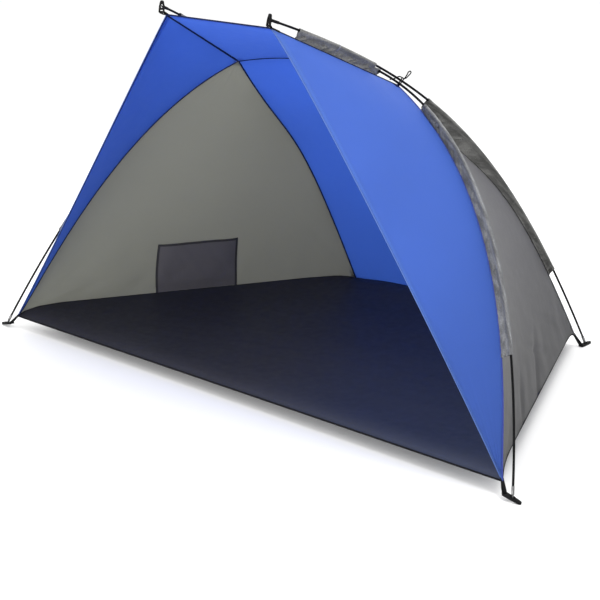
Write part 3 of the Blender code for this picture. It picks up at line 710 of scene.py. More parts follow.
def sweep(name, path, sideways, upward, section, material, slot, node=None, body=ROOT, closed=False):
    """A closed section carried along a path. section is (sideways, upward) points, or one
    such list for each path point; its ends are capped unless the path is closed."""
    section = np.asarray(section, float)
    if section.ndim == 2:
        section = np.broadcast_to(section, (len(path), *section.shape))
    points = (path[:, None, :] + sideways[:, None, :] * section[..., :1]
              + upward[:, None, :] * section[..., 1:]).reshape(-1, 3)
    rows, count = len(path), section.shape[1]
    faces = grid_faces(rows, count, wrap=True)
    if closed:
        last = (rows - 1) * count
        faces += [(last + k, last + (k + 1) % count, (k + 1) % count, k) for k in range(count)]
    else:
        faces += [tuple(range(count))[::-1], tuple(range((rows - 1) * count, rows * count))]
    faces = turned(faces) if signed_volume(points, faces) < 0 else faces
    return mesh_piece(name, points, faces, [material], slot, node, cut_uv(lengths(section[0]), lengths(path)),
                      body=body)


def turning_frames(along):
    """A pair of cross directions at each point, turning as little as they can."""
    side = unit(np.cross(along[0], (0.3, 1.0, 0.2)))
    sides = []
    for t in along:
        side = unit(side - t * np.dot(side, t))
        sides.append(side)
    return np.array(sides), np.cross(along, sides)


def ellipse(width, height, count=12):
    turn = np.linspace(0.0, 2 * math.pi, count, endpoint=False)
    return np.stack((np.cos(turn) * width / 2, np.sin(turn) * height / 2), -1)


def lathe(name, route, profile, material, slot, node, closed=False, sides=20):
    """A solid of revolution along a route: profile is (length along it, radius), a closed
    outline for a tube, else a line whose two ends are capped."""
    s, radius = np.array(profile).T
    section = ellipse(2.0, 2.0, sides)[None] * radius[:, None, None]
    return sweep(name, route.at(s), *turning_frames(route.along(s)), section, material, slot, node,
                 closed=closed)


def stitches(name, path, upward, thread, slot, lift=0.0):
    """A row of thread stitches lying on a surface, one dash for each."""
    route = Route(path)
    middles = np.arange(STITCH_PITCH, route.length - STITCH_PITCH / 2, STITCH_PITCH)
    normals = read_line(middles, route.s, upward)
    along = route.along(middles)
    across = unit(np.cross(along, normals))
    centres = route.at(middles) + normals * lift
    vertices = np.concatenate([centres + along * a + across * b + normals * c for a, b, c in STITCH])
    count = len(middles)
    faces = [tuple(k * count + i for k in face) for i in range(count) for face in STITCH_FACES]
    return mesh_piece(name, vertices, faces, [thread], slot)


# ---- canopy panels
def floor_surface(u, v):
    taut = coons(floor_front, rear_seam, sided(side_seam, -1.0), side_seam)
    sag = FLOOR_SAG * plateau(u, 6) * plateau(v, 6)
    return taut(u, v) - sag[..., None] * (0.0, 0.0, 1.0)


def side_surface(side):
    apex = CROSS_CORNER * (side, 1, 1)
    return coons(sided(side_seam, side), line(apex, apex), sided(hoop_seam, side), sided(rib_seam, side))


def wing_surface(side):
    apex = FOOT_CORNER * (side, 1, 1)
    return coons(sided(ridge_seam, side), line(apex, apex), sided(front_hem, side),
                 sided(flipped(hoop_seam), side))


# A panel's corners in its grid, by row and column: low and high, left and right.
LL, LR, HL, HR = (0, 0), (0, -1), (-1, 0), (-1, -1)
BACK_FANS = ((LR, (HL,), 0.0030, 0.16, 16, 0.4), (LL, (HR,), 0.0030, 0.16, 16, 1.9),
             (HR, (LL,), 0.0022, 0.12, 18, 3.3), (HL, (LR,), 0.0022, 0.12, 18, 5.2))
ROOF_FANS = ((LL, (HR,), 0.0020, 0.10, 16, 0.9), (LR, (HL,), 0.0020, 0.10, 16, 2.9))
SIDE_FANS = ((HL, (LL, LR), 0.0010, 0.10, 13, 1.1), (LL, (HL, LR), 0.0026, 0.15, 11, 2.7),
             (LR, (HL, LL), 0.0024, 0.18, 11, 4.4))
WING_FANS = ((HL, (LL,), 0.0016, 0.14, 14, 0.3), (LR, (HL,), 0.0010, 0.10, 14, 3.8))
FLOOR_FANS = [(corner, (opposite,), 0.0026, 0.20, 12, 1.0 + 1.3 * k)
              for k, (corner, opposite) in enumerate(((LL, HR), (LR, HL), (HL, LR), (HR, LL)))]
# Each crease: its middle and its end as shares of the panel, its depth and its width.
CREASES = (((0.50, 0.030), (0.62, 0.110), 0.0060, 0.014), ((0.58, 0.085), (0.48, 0.150), 0.0050, 0.012),
           ((0.80, 0.075), (0.70, 0.130), 0.0060, 0.013), ((0.30, 0.050), (0.36, 0.130), 0.0035, 0.014))


def back_relief(p, u, v, edges):
    """Slack cloth between the rear ribs: soft folds fan from its four corners."""
    wide = 0.0035 * plateau(u, 4) * plateau(v, 4) * wobble(1.9 * u + 0.7 * v, 2.2)
    return fans(p, BACK_FANS) + wide + edge_puckers(edges, 0.0011, 0.6)


def roof_relief(p, u, v, edges):
    return fans(p, ROOF_FANS) + edge_puckers(edges, 0.0009, 2.6)


def side_relief(p, u, v, edges):
    """Soft folds rise from the floor seam, and small ones fan from the corners."""
    left, bottom = edges[0], edges[2]
    slope = (left + 0.6 * bottom) / 0.17 + 0.5 * wobble(6 * v, 3.0)
    rising = 0.0034 * np.exp(-bottom / 0.20) * ease(bottom / 0.03) * wobble(slope, 0.8)
    return fans(p, SIDE_FANS) + rising + edge_puckers(edges, 0.0012, 1.3)


def creased_side_relief(p, u, v, edges):
    """The right panel also has a few creases left from folding, near its floor seam."""
    relief = side_relief(p, u, v, edges)
    for middle, end, depth, width in CREASES:
        middle, end = (p[int(y * (p.shape[0] - 1)), int(x * (p.shape[1] - 1))] for x, y in (middle, end))
        way, offset = end - middle, p - middle
        reach = np.linalg.norm(way)
        along = offset @ way / reach
        across = np.sqrt(np.maximum(np.sum(offset * offset, axis=-1) - along * along, 0.0))
        relief = relief - depth * np.exp(-(along / reach) ** 2 - (across / width) ** 2)
    return relief


def wing_relief(p, u, v, edges):
    left, bottom = edges[0], edges[2]
    along_hem = 0.0012 * np.exp(-left / 0.05) * ease(left / 0.01) * wobble(bottom / 0.055, 1.4)
    return fans(p, WING_FANS) + along_hem + edge_puckers(edges, 0.0008, 5.3)


def floor_relief(p, u, v, edges):
    """Shallow parallel creases from folding, and pulls towards the four corners."""
    left, bottom = edges[0], edges[2]
    inner = plateau(u, 6) * plateau(v, 6)
    creases = 0.0007 * inner * wobble((left + 0.22 * bottom) / 0.12, 2.9)
    blisters = 0.0009 * inner * wobble((bottom - 0.3 * left) / 0.13, 0.5)
    return fans(p, FLOOR_FANS) + creases + blisters + edge_puckers(edges, 0.0011, 3.7)


SIDE_TOP = 0.994               # the three-cornered panels stop just short of their third corner
back = Panel.sewn(coons(rear_seam, crown_seam, sided(rib_seam, -1.0), rib_seam), (84, 92), back_relief)
roof = Panel.sewn(coons(crown_seam, roof_front, sided(flipped(ridge_seam), -1.0), flipped(ridge_seam)),
                  (64, 42), roof_relief)
floor = Panel.sewn(floor_surface, (150, 98), floor_relief, inside=np.array((0.0, 0.0, 0.5)))
sides, wings = {}, {}
for word, side in SIDES.items():
    relief = creased_side_relief if word == "right" else side_relief
    sides[word] = Panel.sewn(side_surface(side), (96, 100), relief, SIDE_TOP)
    wings[word] = Panel.sewn(wing_surface(side), (44, 116), wing_relief, SIDE_TOP)


# ---- hems and bindings
def panel_piece(name, panel, materials, slot, node, with_pieces):
    made = closed_sheet(name, panel.p, panel.n, materials, slot, node)


def strip(name, panel, edge, insets, lift, material, slot, thickness=CLOTH):
    """A band of cloth sewn on along a panel's edge. lift is its height above the panel,
    outside where it is positive."""
    p, n = panel.band(edge, insets, lift)
    return closed_sheet(name, p, n, [material] * 2, slot, thickness=thickness)


def stitch_row(name, panel, edge, thread, slot, inset=0.006, lift=CLOTH / 2):
    p, n = panel.band(edge, np.array([inset]), lift)
    return stitches(name, p[:, 0], n[:, 0] * np.sign(lift), thread, slot)


def seam_rows(prefix, panel, edges, thread, slot):
    """Stitches along sewn edges. edges gives the edge for each word in the names."""
    return [stitch_row(f"{prefix}_{word}_stitches", panel, edge, thread, slot)
            for word, edge in edges.items()]


def piping(name, curve, width, height, material, slot, shift=0.0):
    """A bound seam or rolled edge: a flattened round strip along a curve, square to it.
    shift moves it out of the canopy."""
    path = curve(np.linspace(0.0, 1.0, PIPING_SAMPLES))
    along = unit(np.gradient(path, axis=0))
    out = path - INSIDE
    out = unit(out - along * np.sum(out * along, axis=1)[:, None])
    return sweep(name, path + out * shift, np.cross(along, out), out, ellipse(width, height), material, slot)


HEM_WIDTH = 0.025
HEM_INSETS = np.linspace(0.0006, HEM_WIDTH, 6)
HEM_STITCH = (HEM_WIDTH - 0.003, 1.6 * CLOTH)
EDGE_STITCH = (0.005, 1.6 * CLOTH)
RIDGE_TAPE = 0.065             # share of the ridge that the tip's webbing is sewn along
HEM_BINDING = {"left": 0.0066, "right": 0.0036}
SEAM_TRIMS = (                 # name, seam, width, height, cloth, slot and shift
    ("ridge_seam_binding", ridge_seam, 0.0078, 0.0030, SEAM, BLUE_SLOT, -0.0014),
    ("hoop_seam_binding", hoop_seam, 0.0042, 0.0026, SEAM, BLUE_SLOT, -0.0018),
    # A dark strip of seam tape outside the ridge seam, under the roof sleeve: a painted shadow line.
    ("ridge_seam_edge", ridge_seam, 0.0046, 0.0024, SEAM, BLUE_SLOT, 0.0010),
    # Painted shade: a darker blue strip outside the hoop seam, where the wing curves away.
    ("hoop_seam_edge", hoop_seam, 0.0050, 0.0024, BLUE_SEAM_SHADE, BLUE_SLOT, 0.0010),
    ("rib_seam_edge", rib_seam, 0.0042, 0.0024, BINDING, GREY_SLOT, 0.0010),
    ("rib_seam_binding", rib_seam, 0.0054, 0.0026, SEAM, GREY_SLOT, -0.0018),
)

panel_piece("back_panel_cloth", back, [BLUE, BLUE_INSIDE], BLUE_SLOT, "back_panel", seam_rows(
    "back_panel", back, {"top": "top", "right": "right", "left": "left", "floor": "bottom"}, BLUE_THREAD,
    BLUE_SLOT))
panel_piece("roof_panel_cloth", roof, [BLUE, BLUE_INSIDE], BLUE_SLOT, "roof_panel", [
    strip("roof_front_hem", roof, "top", HEM_INSETS, CLOTH, BLUE, BLUE_SLOT),
    piping("roof_front_roll", roof_front, 0.0046, 0.0042, SEAM, BLUE_SLOT),
    stitch_row("roof_hem_stitches", roof, "top", BLUE_THREAD, BLUE_SLOT, *HEM_STITCH),
    *seam_rows("roof", roof, {"left": "left", "right": "right"}, BLUE_THREAD, BLUE_SLOT),
])
panel_piece("floor_cloth", floor, [FLOOR, FLOOR], FLOOR_SLOT, "floor_sheet", [
    piping("floor_front_binding", floor_front, 0.0090, 0.0026, BINDING, FLOOR_SLOT),
    stitch_row("floor_front_stitches", floor, "bottom", BLACK_THREAD, FLOOR_SLOT, 0.009, -CLOTH / 2),
])
for word, side in SIDES.items():
    panel = sides[word]
    edges = {"front": "left", "rear": "right", "floor": "bottom"}
    panel_piece(f"side_panel_cloth_{word}", panel, [GREY, GREY_INSIDE], GREY_SLOT, f"side_panel_{word}", [
        *seam_rows(f"side_{word}", panel, edges, GREY_THREAD, GREY_SLOT),
        piping(f"floor_side_piping_{word}", sided(side_seam, side), 0.0046, 0.0030, BINDING, GREY_SLOT),
    ])
    panel, hem = wings[word], sided(front_hem, side)
    panel_piece(f"wing_panel_cloth_{word}", panel, [BLUE, BLUE_INSIDE], BLUE_SLOT, f"wing_panel_{word}", [
        strip(f"wing_hem_{word}", panel, "left", HEM_INSETS, CLOTH, BLUE_BAND, BLUE_SLOT),
        strip(f"wing_hem_facing_{word}", panel, "left", HEM_INSETS * 0.20, -CLOTH, SEAM, BLUE_SLOT),
        piping(f"wing_hem_binding_{word}", hem, HEM_BINDING[word], 0.0028, SEAM, BLUE_SLOT, -0.0012),
        piping(f"wing_hem_roll_{word}", hem, 0.0034, 0.0026, BLUE_EDGE, BLUE_SLOT, 0.0008),
        stitch_row(f"wing_{word}_hem_stitches", panel, "left", BLUE_THREAD, BLUE_SLOT, *HEM_STITCH),
        stitch_row(f"wing_{word}_edge_stitches", panel, "left", PALE_THREAD, BLUE_SLOT, *EDGE_STITCH),
        *seam_rows(f"wing_{word}", panel, {"ridge": "bottom", "hoop": "right"}, BLUE_THREAD, BLUE_SLOT),
    ])
    for name, seam, *rest in SEAM_TRIMS:
        piping(f"{name}_{word}", sided(seam, side), *rest)
for word, side in SIDES.items():
    tip = sided(line(TIP_CORNER, TIP_CORNER + (CROSS_CORNER - TIP_CORNER) * RIDGE_TAPE), side)
    piping(f"ridge_tape_{word}", tip, 0.0100, 0.0046, WEBBING, BLACK_SLOT, 0.0006)
piping("crown_seam_binding", crown_seam, 0.0056, 0.0026, SEAM, BLUE_SLOT, -0.0016)
piping("rear_seam_binding", rear_seam, 0.0044, 0.0034, BINDING, BLUE_SLOT)


# ---- storage pocket
POCKET_STANDOFF = 0.0045
POCKET_GRID = (40, 28)
BINDING_WIDTH = 0.0080
BOUND_EDGES = ("left", "right", "top")


def pocket_panel():
    """A patch pocket: sewn close to the side panel round three edges, open along its top."""
    x, y = np.meshgrid(*(np.linspace(0.0, 1.0, count) for count in POCKET_GRID))
    low_front, low_rear, top_front, top_rear = (np.array(corner) for corner in POCKET_CORNERS)
    row, rise = x[..., None], y[..., None]
    share = ((1 - rise) * ((1 - row) * low_front + row * low_rear)
             + rise * ((1 - row) * top_front + row * top_rear))
    p, n = sides["left"].sample(share[..., 0], share[..., 1] / SIDE_TOP)
    belly = POCKET_STANDOFF * plateau(x, 6) * ease(y / 0.25) + 0.0006 * wobble(5 * x + 2 * y, 1.1)
    p = p - n * (CLOTH + belly * (1.0 + 0.5 * y))[..., None]
    flat = (float(lengths(p[-1])[-1]), float(lengths(p[:, POCKET_GRID[0] // 2])[-1]))
    return Panel(p, n, flat, flat[0] * flat[1])


pocket = pocket_panel()
pocket_insets = np.linspace(0.0, BINDING_WIDTH, 4)
panel_piece("pocket_cloth", pocket, [POCKET, POCKET], POCKET_SLOT, "storage_pocket", [
    strip(f"pocket_binding_{edge}", pocket, edge, pocket_insets, -CLOTH, POCKET_EDGE, POCKET_SLOT, 0.0010)
    for edge in BOUND_EDGES
] + [
    stitch_row(f"pocket_{edge}_stitches", pocket, edge, BLACK_THREAD, POCKET_SLOT, BINDING_WIDTH * 0.75,
               -1.8 * CLOTH)
    for edge in BOUND_EDGES
])


# ---- pole sleeves
CHANNEL = 0.0055               # radius of the tube of cloth round the pole
SLEEVE_CLOTH = 0.0006
FIN_GAP = 0.0006               # between the fin's two layers
ARC_STEPS = 16
ARC_HALF = 112.0               # degrees that the cloth wraps the pole on either side
FIN_STEPS = 8
FOLD_REACH = 0.17              # how far wrinkles run in from a sleeve's ends
FIN_ROOT = 0.0010              # from the seam to the fin's sewn edge
NECK = 2.6                     # from the pole to where the two layers meet, in channel radii
SWING, END_SWING = 0.0014, 0.0040    # the depth of the fin's wrinkles, and how much more at an end
WRINKLE_PITCH = 0.030
LEAN_REACH = 0.05              # how far the slant of a cut end runs in
STATION_STEP = 0.005
HEM_DOUBLED = 0.0008           # thickness of the turned hem at a sleeve's ends
PUFF, PUFF_PITCH = 0.03, 0.021         # how unevenly the channel swells, as a share of its radius
RIDGE_SLANT, RIDGE_DEPTH = 1.4, 2.2


def sleeve_section(reach, radius, sideways, wall):
    """One skin of a sleeve's cut: up one side of the fin, round the pole, down the other.
    Points are (out from the seam, sideways)."""
    neck = reach - NECK * CHANNEL
    fin = [(FIN_ROOT + (neck - FIN_ROOT) * k / FIN_STEPS, wall) for k in range(FIN_STEPS + 1)]
    turn = np.radians(np.linspace(ARC_HALF, -ARC_HALF, ARC_STEPS))
    arc = [(reach + radius * math.cos(a), radius * math.sin(a)) for a in turn]
    outline = fin + arc + [(x, -y) for x, y in reversed(fin)]
    return [(x, y + sideways(x)) for x, y in outline]


def sleeve(name, pole, seam, span, material, node, seed, lean=0.0, folds=(1.0, 1.0), join=False):
    """A strip folded round the pole and sewn into the seam. lean slants its first cut end:
    how much further it reaches at the seam than at the pole. folds is how deep its
    wrinkles are at either end."""
    start, end = span
    stations = steps(start, end, STATION_STEP)
    centers = pole.at(stations)
    feet = nearest(centers, seam(np.linspace(0.0, 1.0, SEAM_SAMPLES)))
    rows, walls = [], []
    for s, center, foot in zip(stations, centers, feet):
        tangent = pole.along(np.array([s]))[0]
        out = center - foot
        reach = float(np.linalg.norm(out))
        out = unit(out - tangent * np.dot(out, tangent))
        cross = np.cross(tangent, out)
        swing = SWING + END_SWING * (folds[0] * math.exp(-(s - start) / FOLD_REACH)
                                     + folds[1] * math.exp(-(end - s) / FOLD_REACH))
        slant = lean * math.exp(-(s - start) / LEAN_REACH)

        def sideways(x):
            level = max(0.0, x / (reach - 0.5 * CHANNEL))
            if level >= 1.0:
                return 0.0
            ridges = 1.0 - RIDGE_DEPTH * abs(wobble((s + RIDGE_SLANT * x) / WRINKLE_PITCH, seed))
            return float(math.sin(math.pi * level) ** 0.8 * swing * ridges)

        radius = CHANNEL * (1.0 + PUFF * float(wobble(s / PUFF_PITCH, seed + 2.0)))
        outer = sleeve_section(reach, radius, sideways, FIN_GAP / 2 + SLEEVE_CLOTH)
        inner = sleeve_section(reach, radius - SLEEVE_CLOTH, sideways, FIN_GAP / 2)
        rows.append([center + out * (x - reach) + cross * y - tangent * slant * (1.0 - clamp(x / reach))
                     for x, y in outer + inner[::-1]])
        walls.append(lengths(np.array(outer))[-1])
    points = np.array(rows)
    count = points.shape[1]
    faces = grid_faces(len(rows), count, wrap=True)
    half = count // 2
    last = (len(rows) - 1) * count
    for k in range(half - 1):
        faces.append((k + 1, k, count - 1 - k, count - 2 - k))
        faces.append((last + k, last + k + 1, last + count - 2 - k, last + count - 1 - k))
    flat = points.reshape(-1, 3)
    faces = turned(faces) if signed_volume(flat, faces) < 0 else faces
    around = lengths(points[0])
    made = mesh_piece(name, flat, faces, [material], GREY_SLOT, node,
                      cut_uv(around - around[half // 2], stations))
    near, far = FIN_STEPS, half - 1 - FIN_STEPS
    trims = [stitches(f"{name}_stitches_{letter}", points[:, one], unit(points[:, one] - points[:, other]),
                      GREY_THREAD, GREY_SLOT, 0.0001)
             for letter, one, other in (("a", near, far), ("b", far, near))]
    doubled = {"first_hem": (0, 2), "last_hem": (len(stations) - 3, len(stations) - 1)}
    if join:
        doubled["join"] = (len(stations) // 2 - 1, len(stations) // 2)
    for place, (low, high) in doubled.items():
        skin = points[low:high + 1, :half]
        out = grid_normals(skin, INSIDE)
        away = unit(skin - centers[low:high + 1, None])
        out *= np.sign(np.sum(out * away, axis=-1))[..., None]
        band = JOIN if place == "join" else material
        trims.append(closed_sheet(f"{name}_{place}", skin + out * HEM_DOUBLED / 2, out, [band] * 2,
                                  GREY_SLOT, thickness=HEM_DOUBLED))


for word, side in SIDES.items():
    left = word == "left"
    span = HOOP_SLEEVE if left else (HOOP.length - HOOP_SLEEVE[1], HOOP.length - HOOP_SLEEVE[0])
    sleeve(f"hoop_sleeve_cloth_{word}", HOOP, sided(hoop_seam, side), span, SLEEVE, f"hoop_sleeve_{word}",
           folds=(0.6, 1.6) if left else (1.6, 0.6), seed=0.7)
    sleeve(f"rear_sleeve_cloth_{word}", RIBS[word], sided(rib_seam, side), RIB_SLEEVE, SLEEVE_SHADE,
           f"rear_sleeve_{word}", lean=0.016, folds=(1.4, 1.4), seed=2.3)
    sleeve(f"roof_sleeve_cloth_{word}", RIBS[word], sided(ridge_seam, side), ROOF_SLEEVE, SLEEVE_LIT,
           f"roof_sleeve_{word}", seed=4.1, join=True)
middle = HOOP.length / 2.0
sleeve("crown_sleeve_cloth", HOOP, crown_seam, (middle - CROWN_SLEEVE_HALF, middle + CROWN_SLEEVE_HALF),
       SLEEVE, "crown_sleeve", seed=5.5)


# ---- poles
POLE_BORE = 0.0021
FERRULE_BORE = 0.0038
STEEL_SIDES = 28
GROOVE_INSET = 0.006
POLE_STEP = 0.020
CHAMFER = 0.0004
ROLL = 0.0003                  # depth of a steel sleeve's grooves and eased ends


def tube_profile(stations, radius, bore):
    """A tube's outline, out along the outside and back along the bore, with eased ends."""
    low, high = stations[0], stations[-1]
    outside = [(low, radius - CHAMFER), (low + CHAMFER, radius), *((s, radius) for s in stations[1:-1]),
               (high - CHAMFER, radius), (high, radius - CHAMFER)]
    return outside + [(s, bore) for s in stations[::-1]]


def rolled_profile(low, high, radius, bore):
    """A joint sleeve's outline, with a rolled groove near each end."""
    dent = radius - ROLL
    points = [(low, dent), (low + ROLL, radius)]
    for groove in (low + GROOVE_INSET, high - GROOVE_INSET):
        points += [(groove - 0.0012, radius), (groove - 0.0005, dent), (groove + 0.0005, dent),
                   (groove + 0.0012, radius)]
    return points + [(high - ROLL, radius), (high, dent), (high, bore), (low, bore)]


def end_pin_profile():
    """A pin with a rounded tip, and the cup above it with a rolled lip."""
    lip = END_PIN + END_CUP
    dent = FERRULE_RADIUS - ROLL
    return [(0.0, 0.0012), (0.0004, 0.0018), (0.0012, PIN_RADIUS), (END_PIN - 0.003, PIN_RADIUS),
            (END_PIN - 0.0022, PIN_RADIUS + 0.0006), (END_PIN - 0.001, dent),
            (END_PIN - 0.0005, FERRULE_RADIUS), (lip - 0.0055, FERRULE_RADIUS), (lip - 0.0048, dent),
            (lip - 0.0042, dent), (lip - 0.0035, FERRULE_RADIUS), (lip - ROLL, FERRULE_RADIUS), (lip, dent),
            (lip, FERRULE_BORE), (END_PIN + 0.0008, FERRULE_BORE)]


def pole(name, route, cups):
    """A pole's tubes, its steel sleeves, and a cup with a pin on each end. A cup is its
    name, its CAD node, its material and its slot; the first is at the route's start."""
    joints = route.joints
    ends = [END_PIN + 0.0015, *joints, route.length - END_PIN - 0.0015]
    for i, (low, high) in enumerate(zip(ends, ends[1:])):
        stations = list(steps(low + GAP, high - GAP, POLE_STEP))
        lathe(f"{name}_tube_{i + 1}", route, tube_profile(stations, POLE_RADIUS, POLE_BORE), FIBREGLASS,
              "fibreglass", f"{name}_section_{i + 1}", True)
        if i < len(joints):
            grip = (high - FERRULE_LENGTH / 2.0, high + FERRULE_LENGTH / 2.0)
            lathe(f"{name}_steel_sleeve_{i + 1}", route, rolled_profile(*grip, FERRULE_RADIUS, FERRULE_BORE),
                  STEEL, "plated_steel", f"{name}_joint_sleeve_{i + 1}", True, STEEL_SIDES)
    for (cup, node, material, slot), points in zip(cups, (route.points, route.points[::-1])):
        lathe(cup, Route(points), end_pin_profile(), material, slot, node, sides=STEEL_SIDES)


pole("hoop_pole", HOOP, [(f"hoop_end_cup_{word}", f"hoop_end_pin_{word}", STEEL, "plated_steel")
                         for word in ("left", "right")])
for word in SIDES:
    pole(f"rib_pole_{word}", RIBS[word],
         [(f"rib_rear_cup_{word}", f"rib_rear_pin_{word}", STEEL, "plated_steel"),
          (f"rib_tip_cup_{word}", f"rib_tip_pin_{word}", PLASTIC, PLASTIC_SLOT)])


# ---- fittings and tapes
TAPE_WIDTH = 0.0120
TAPE = 0.0012
LOOP_RADIUS = 0.0030
TAPE_STEPS, LOOP_STEPS = 12, 15
SEWN_ON = 0.010                # the webbing runs on past the corner that it is sewn to
COLLAR_ACROSS = 0.0140
COLLAR_STEPS = 36
COLLAR = ((-0.0010, -0.0010), (0.0011, -0.0010), (0.0011, 0.0004), (0.0006, 0.0010), (-0.0006, 0.0010),
          (-0.0010, 0.0005))
RIB_SECTION = ((-0.0009, -0.0010), (0.0009, -0.0010), (0.0008, 0.0006), (0.0003, 0.0009),
               (-0.0003, 0.0009), (-0.0008, 0.0006))
RIB_STATIONS = 10


def pole_end(route, at_start):
    """A pole's end point and the direction from it into the pole."""
    base = route.at(0.0 if at_start else route.length)
    inner = route.at(END_CUP if at_start else route.length - END_CUP)
    return base, unit(inner - base)


def at_height(base, axis, height):
    return base + axis * ((height - base[2]) / axis[2])


class Fitting:
    """A fitting's place: the hole's centre, its arm from heel to toe, and its normal."""

    def __init__(self, name, hole, arm, normal, heel, toe, corner):
        self.name, self.hole, self.heel, self.toe, self.corner = name, hole, heel, toe, corner
        self.normal = unit(np.asarray(normal, float))
        arm = np.asarray(arm, float)
        self.arm = unit(arm - self.normal * np.dot(arm, self.normal))
        self.width = np.cross(self.normal, self.arm)

    def point(self, x, y, z=PLATE_THICKNESS / 2):
        return self.hole + self.arm * x + self.width * y + self.normal * z

    def moulding(self, name, path, across, up, section, closed=False):
        sweep(f"{self.name}_{name}", path, across, up, section, PLASTIC, PLASTIC_SLOT, body=self.name,
              closed=closed)


fittings = []
for word, side in SIDES.items():
    mirror = (side, 1.0, 1.0)
    slope = (math.sin(FRONT_FOOT_SLOPE) * side, 0.0, math.cos(FRONT_FOOT_SLOPE))
    hole = at_height(*pole_end(HOOP, side < 0.0), FRONT_HOLE_HEIGHT)
    fittings.append(Fitting(f"front_foot_{word}", hole, (side, 0, 0), slope, FOOT_HEEL, FOOT_TOE,
                            FOOT_CORNER * mirror))
    hole = at_height(*pole_end(RIBS[word], True), PLATE_THICKNESS / 2.0)
    fittings.append(Fitting(f"rear_foot_{word}", hole, (0, 1, 0), (0, 0, 1), FOOT_HEEL, FOOT_TOE,
                            REAR_CORNER * mirror))
    end, axis = pole_end(RIBS[word], False)
    fittings.append(Fitting(f"tip_holder_{word}", end + axis * PIN_REACH, (0, -0.1, 1), axis * (1, 1, 0.5),
                            TIP_HEEL, TIP_TOE, TIP_CORNER * mirror))


def collar(fitting):
    """A raised ring round the hole on the pole's side, moulded with the plate."""
    path = np.array([fitting.point(x, y) for x, y in ellipse(COLLAR_ACROSS, COLLAR_ACROSS, COLLAR_STEPS)])
    out = unit(path - fitting.point(0, 0))
    fitting.moulding("collar", path, out, np.broadcast_to(fitting.normal, out.shape), COLLAR, True)


def toe_rib(fitting, side):
    """A stiffening rib moulded along the toe's edge, lower at its ends."""
    stations = np.linspace(0.009, fitting.toe - 0.0075, RIB_STATIONS)
    spread = np.interp(stations, (0.0, fitting.toe - 0.006), (0.0085, 0.0060)) - 0.0022
    path = np.array([fitting.point(x, side * y) for x, y in zip(stations, spread)])
    along = unit(np.gradient(path, axis=0))
    up = np.broadcast_to(fitting.normal, along.shape)
    count = np.arange(RIB_STATIONS)
    rise = np.clip(np.minimum(count, count[::-1]) / 2.0, 0.15, 1.0)
    section = np.array(RIB_SECTION)[None] * np.stack((np.ones(RIB_STATIONS), rise), -1)[:, None, :]
    fitting.moulding(f"rib_{'a' if side > 0 else 'b'}", path, np.cross(along, up), up, section)


def tape_path(fitting, bar):
    """The middle of the webbing: from the corner down through the slot, round the heel
    bar and back up, leaning over to the corner above the plate."""
    run = fitting.corner - bar
    run *= 1.0 + SEWN_ON / np.linalg.norm(run)
    top = float(np.dot(run, fitting.normal))
    sideways = run - fitting.normal * top
    straight = PLATE_THICKNESS / 2.0 - BAR_RISE + 0.001
    radius = LOOP_RADIUS + TAPE / 2.0
    close = TAPE / 2.0 + GAP / 2.0
    rise = np.linspace(1.0, 0.0, TAPE_STEPS)
    spread = close + (radius - close) * (1.0 - ease(rise * 1.1))
    half = [(straight + (top - straight) * k, x) for k, x in zip(rise, spread)]
    turn = np.linspace(0.0, -math.pi, LOOP_STEPS)
    arc = [(radius * math.sin(a), radius * math.cos(a)) for a in turn]
    return np.array([bar + fitting.normal * height + fitting.arm * x
                     + sideways * max(0.0, (height - straight) / (top - straight))
                     for height, x in half + arc + [(h, -x) for h, x in reversed(half)]])


def tape(fitting):
    """The webbing loop that ties the canopy's corner to a fitting."""
    bar = fitting.point(-fitting.heel + BAR / 2.0, 0.0, BAR_RISE)
    path = tape_path(fitting, bar)
    along = unit(np.gradient(path, axis=0))
    thick = unit(np.cross(along, fitting.width))
    name = fitting.name.replace("foot", "tape").replace("holder", "tape")
    w, h = TAPE_WIDTH / 2.0, TAPE / 2.0
    side = [(w, 0), (w - h * 0.4, h * 0.85), (w - h * 1.2, h)]
    outline = [(-x, -y) for x, y in side] + [(x, -y) for x, y in side[:0:-1]]
    outline += side + [(-x, y) for x, y in side[:0:-1]]
    made = sweep(f"{name}_webbing", path, np.cross(thick, along), thick, outline, WEBBING, BLACK_SLOT, name,
                 body=None)
    tuple(fitting.corner)
    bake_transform(made)


for fitting in fittings:
    collar(fitting)
    for side in SIDES.values():
        toe_rib(fitting, side)
    tape(fitting)


# ---- corner patches
PATCH_STEPS = 10
PATCH_INSET = 0.12             # its stitches' distance in from its edges, as a share of its half
OUTSIDE, FACING = 1.2 * CLOTH, -1.2 * CLOTH
PATCHES = (                    # name, panels, span across, span up, height, cloth and slot
    ("wing_foot_patch", wings, (0.0, 1.0), (0.955, 0.999), OUTSIDE, BLUE, BLUE_SLOT),
    ("wing_foot_facing", wings, (0.0, 1.0), (0.972, 0.999), FACING, BINDING, BLACK_SLOT),
    ("side_foot_patch", sides, (0.0, 0.018), (0.0, 0.026), OUTSIDE, BINDING, BLACK_SLOT),
    ("side_foot_facing", sides, (0.0, 0.014), (0.0, 0.016), FACING, BINDING, BLACK_SLOT),
    ("side_rear_patch", sides, (0.985, 1.0), (0.0, 0.016), OUTSIDE, GREY, GREY_SLOT),
    ("side_top_patch", sides, (0.0, 1.0), (0.986, 0.999), OUTSIDE, GREY, GREY_SLOT),
    ("wing_tip_patch", wings, (0.0, 0.050), (0.0, 0.014), OUTSIDE, BINDING, BLACK_SLOT),
    ("wing_cross_patch", wings, (0.965, 1.0), (0.0, 0.010), OUTSIDE, SEAM, BLUE_SLOT),
    ("wing_tip_facing", wings, (0.0, 0.03), (0.0, 0.010), FACING, BINDING, BLACK_SLOT),
)


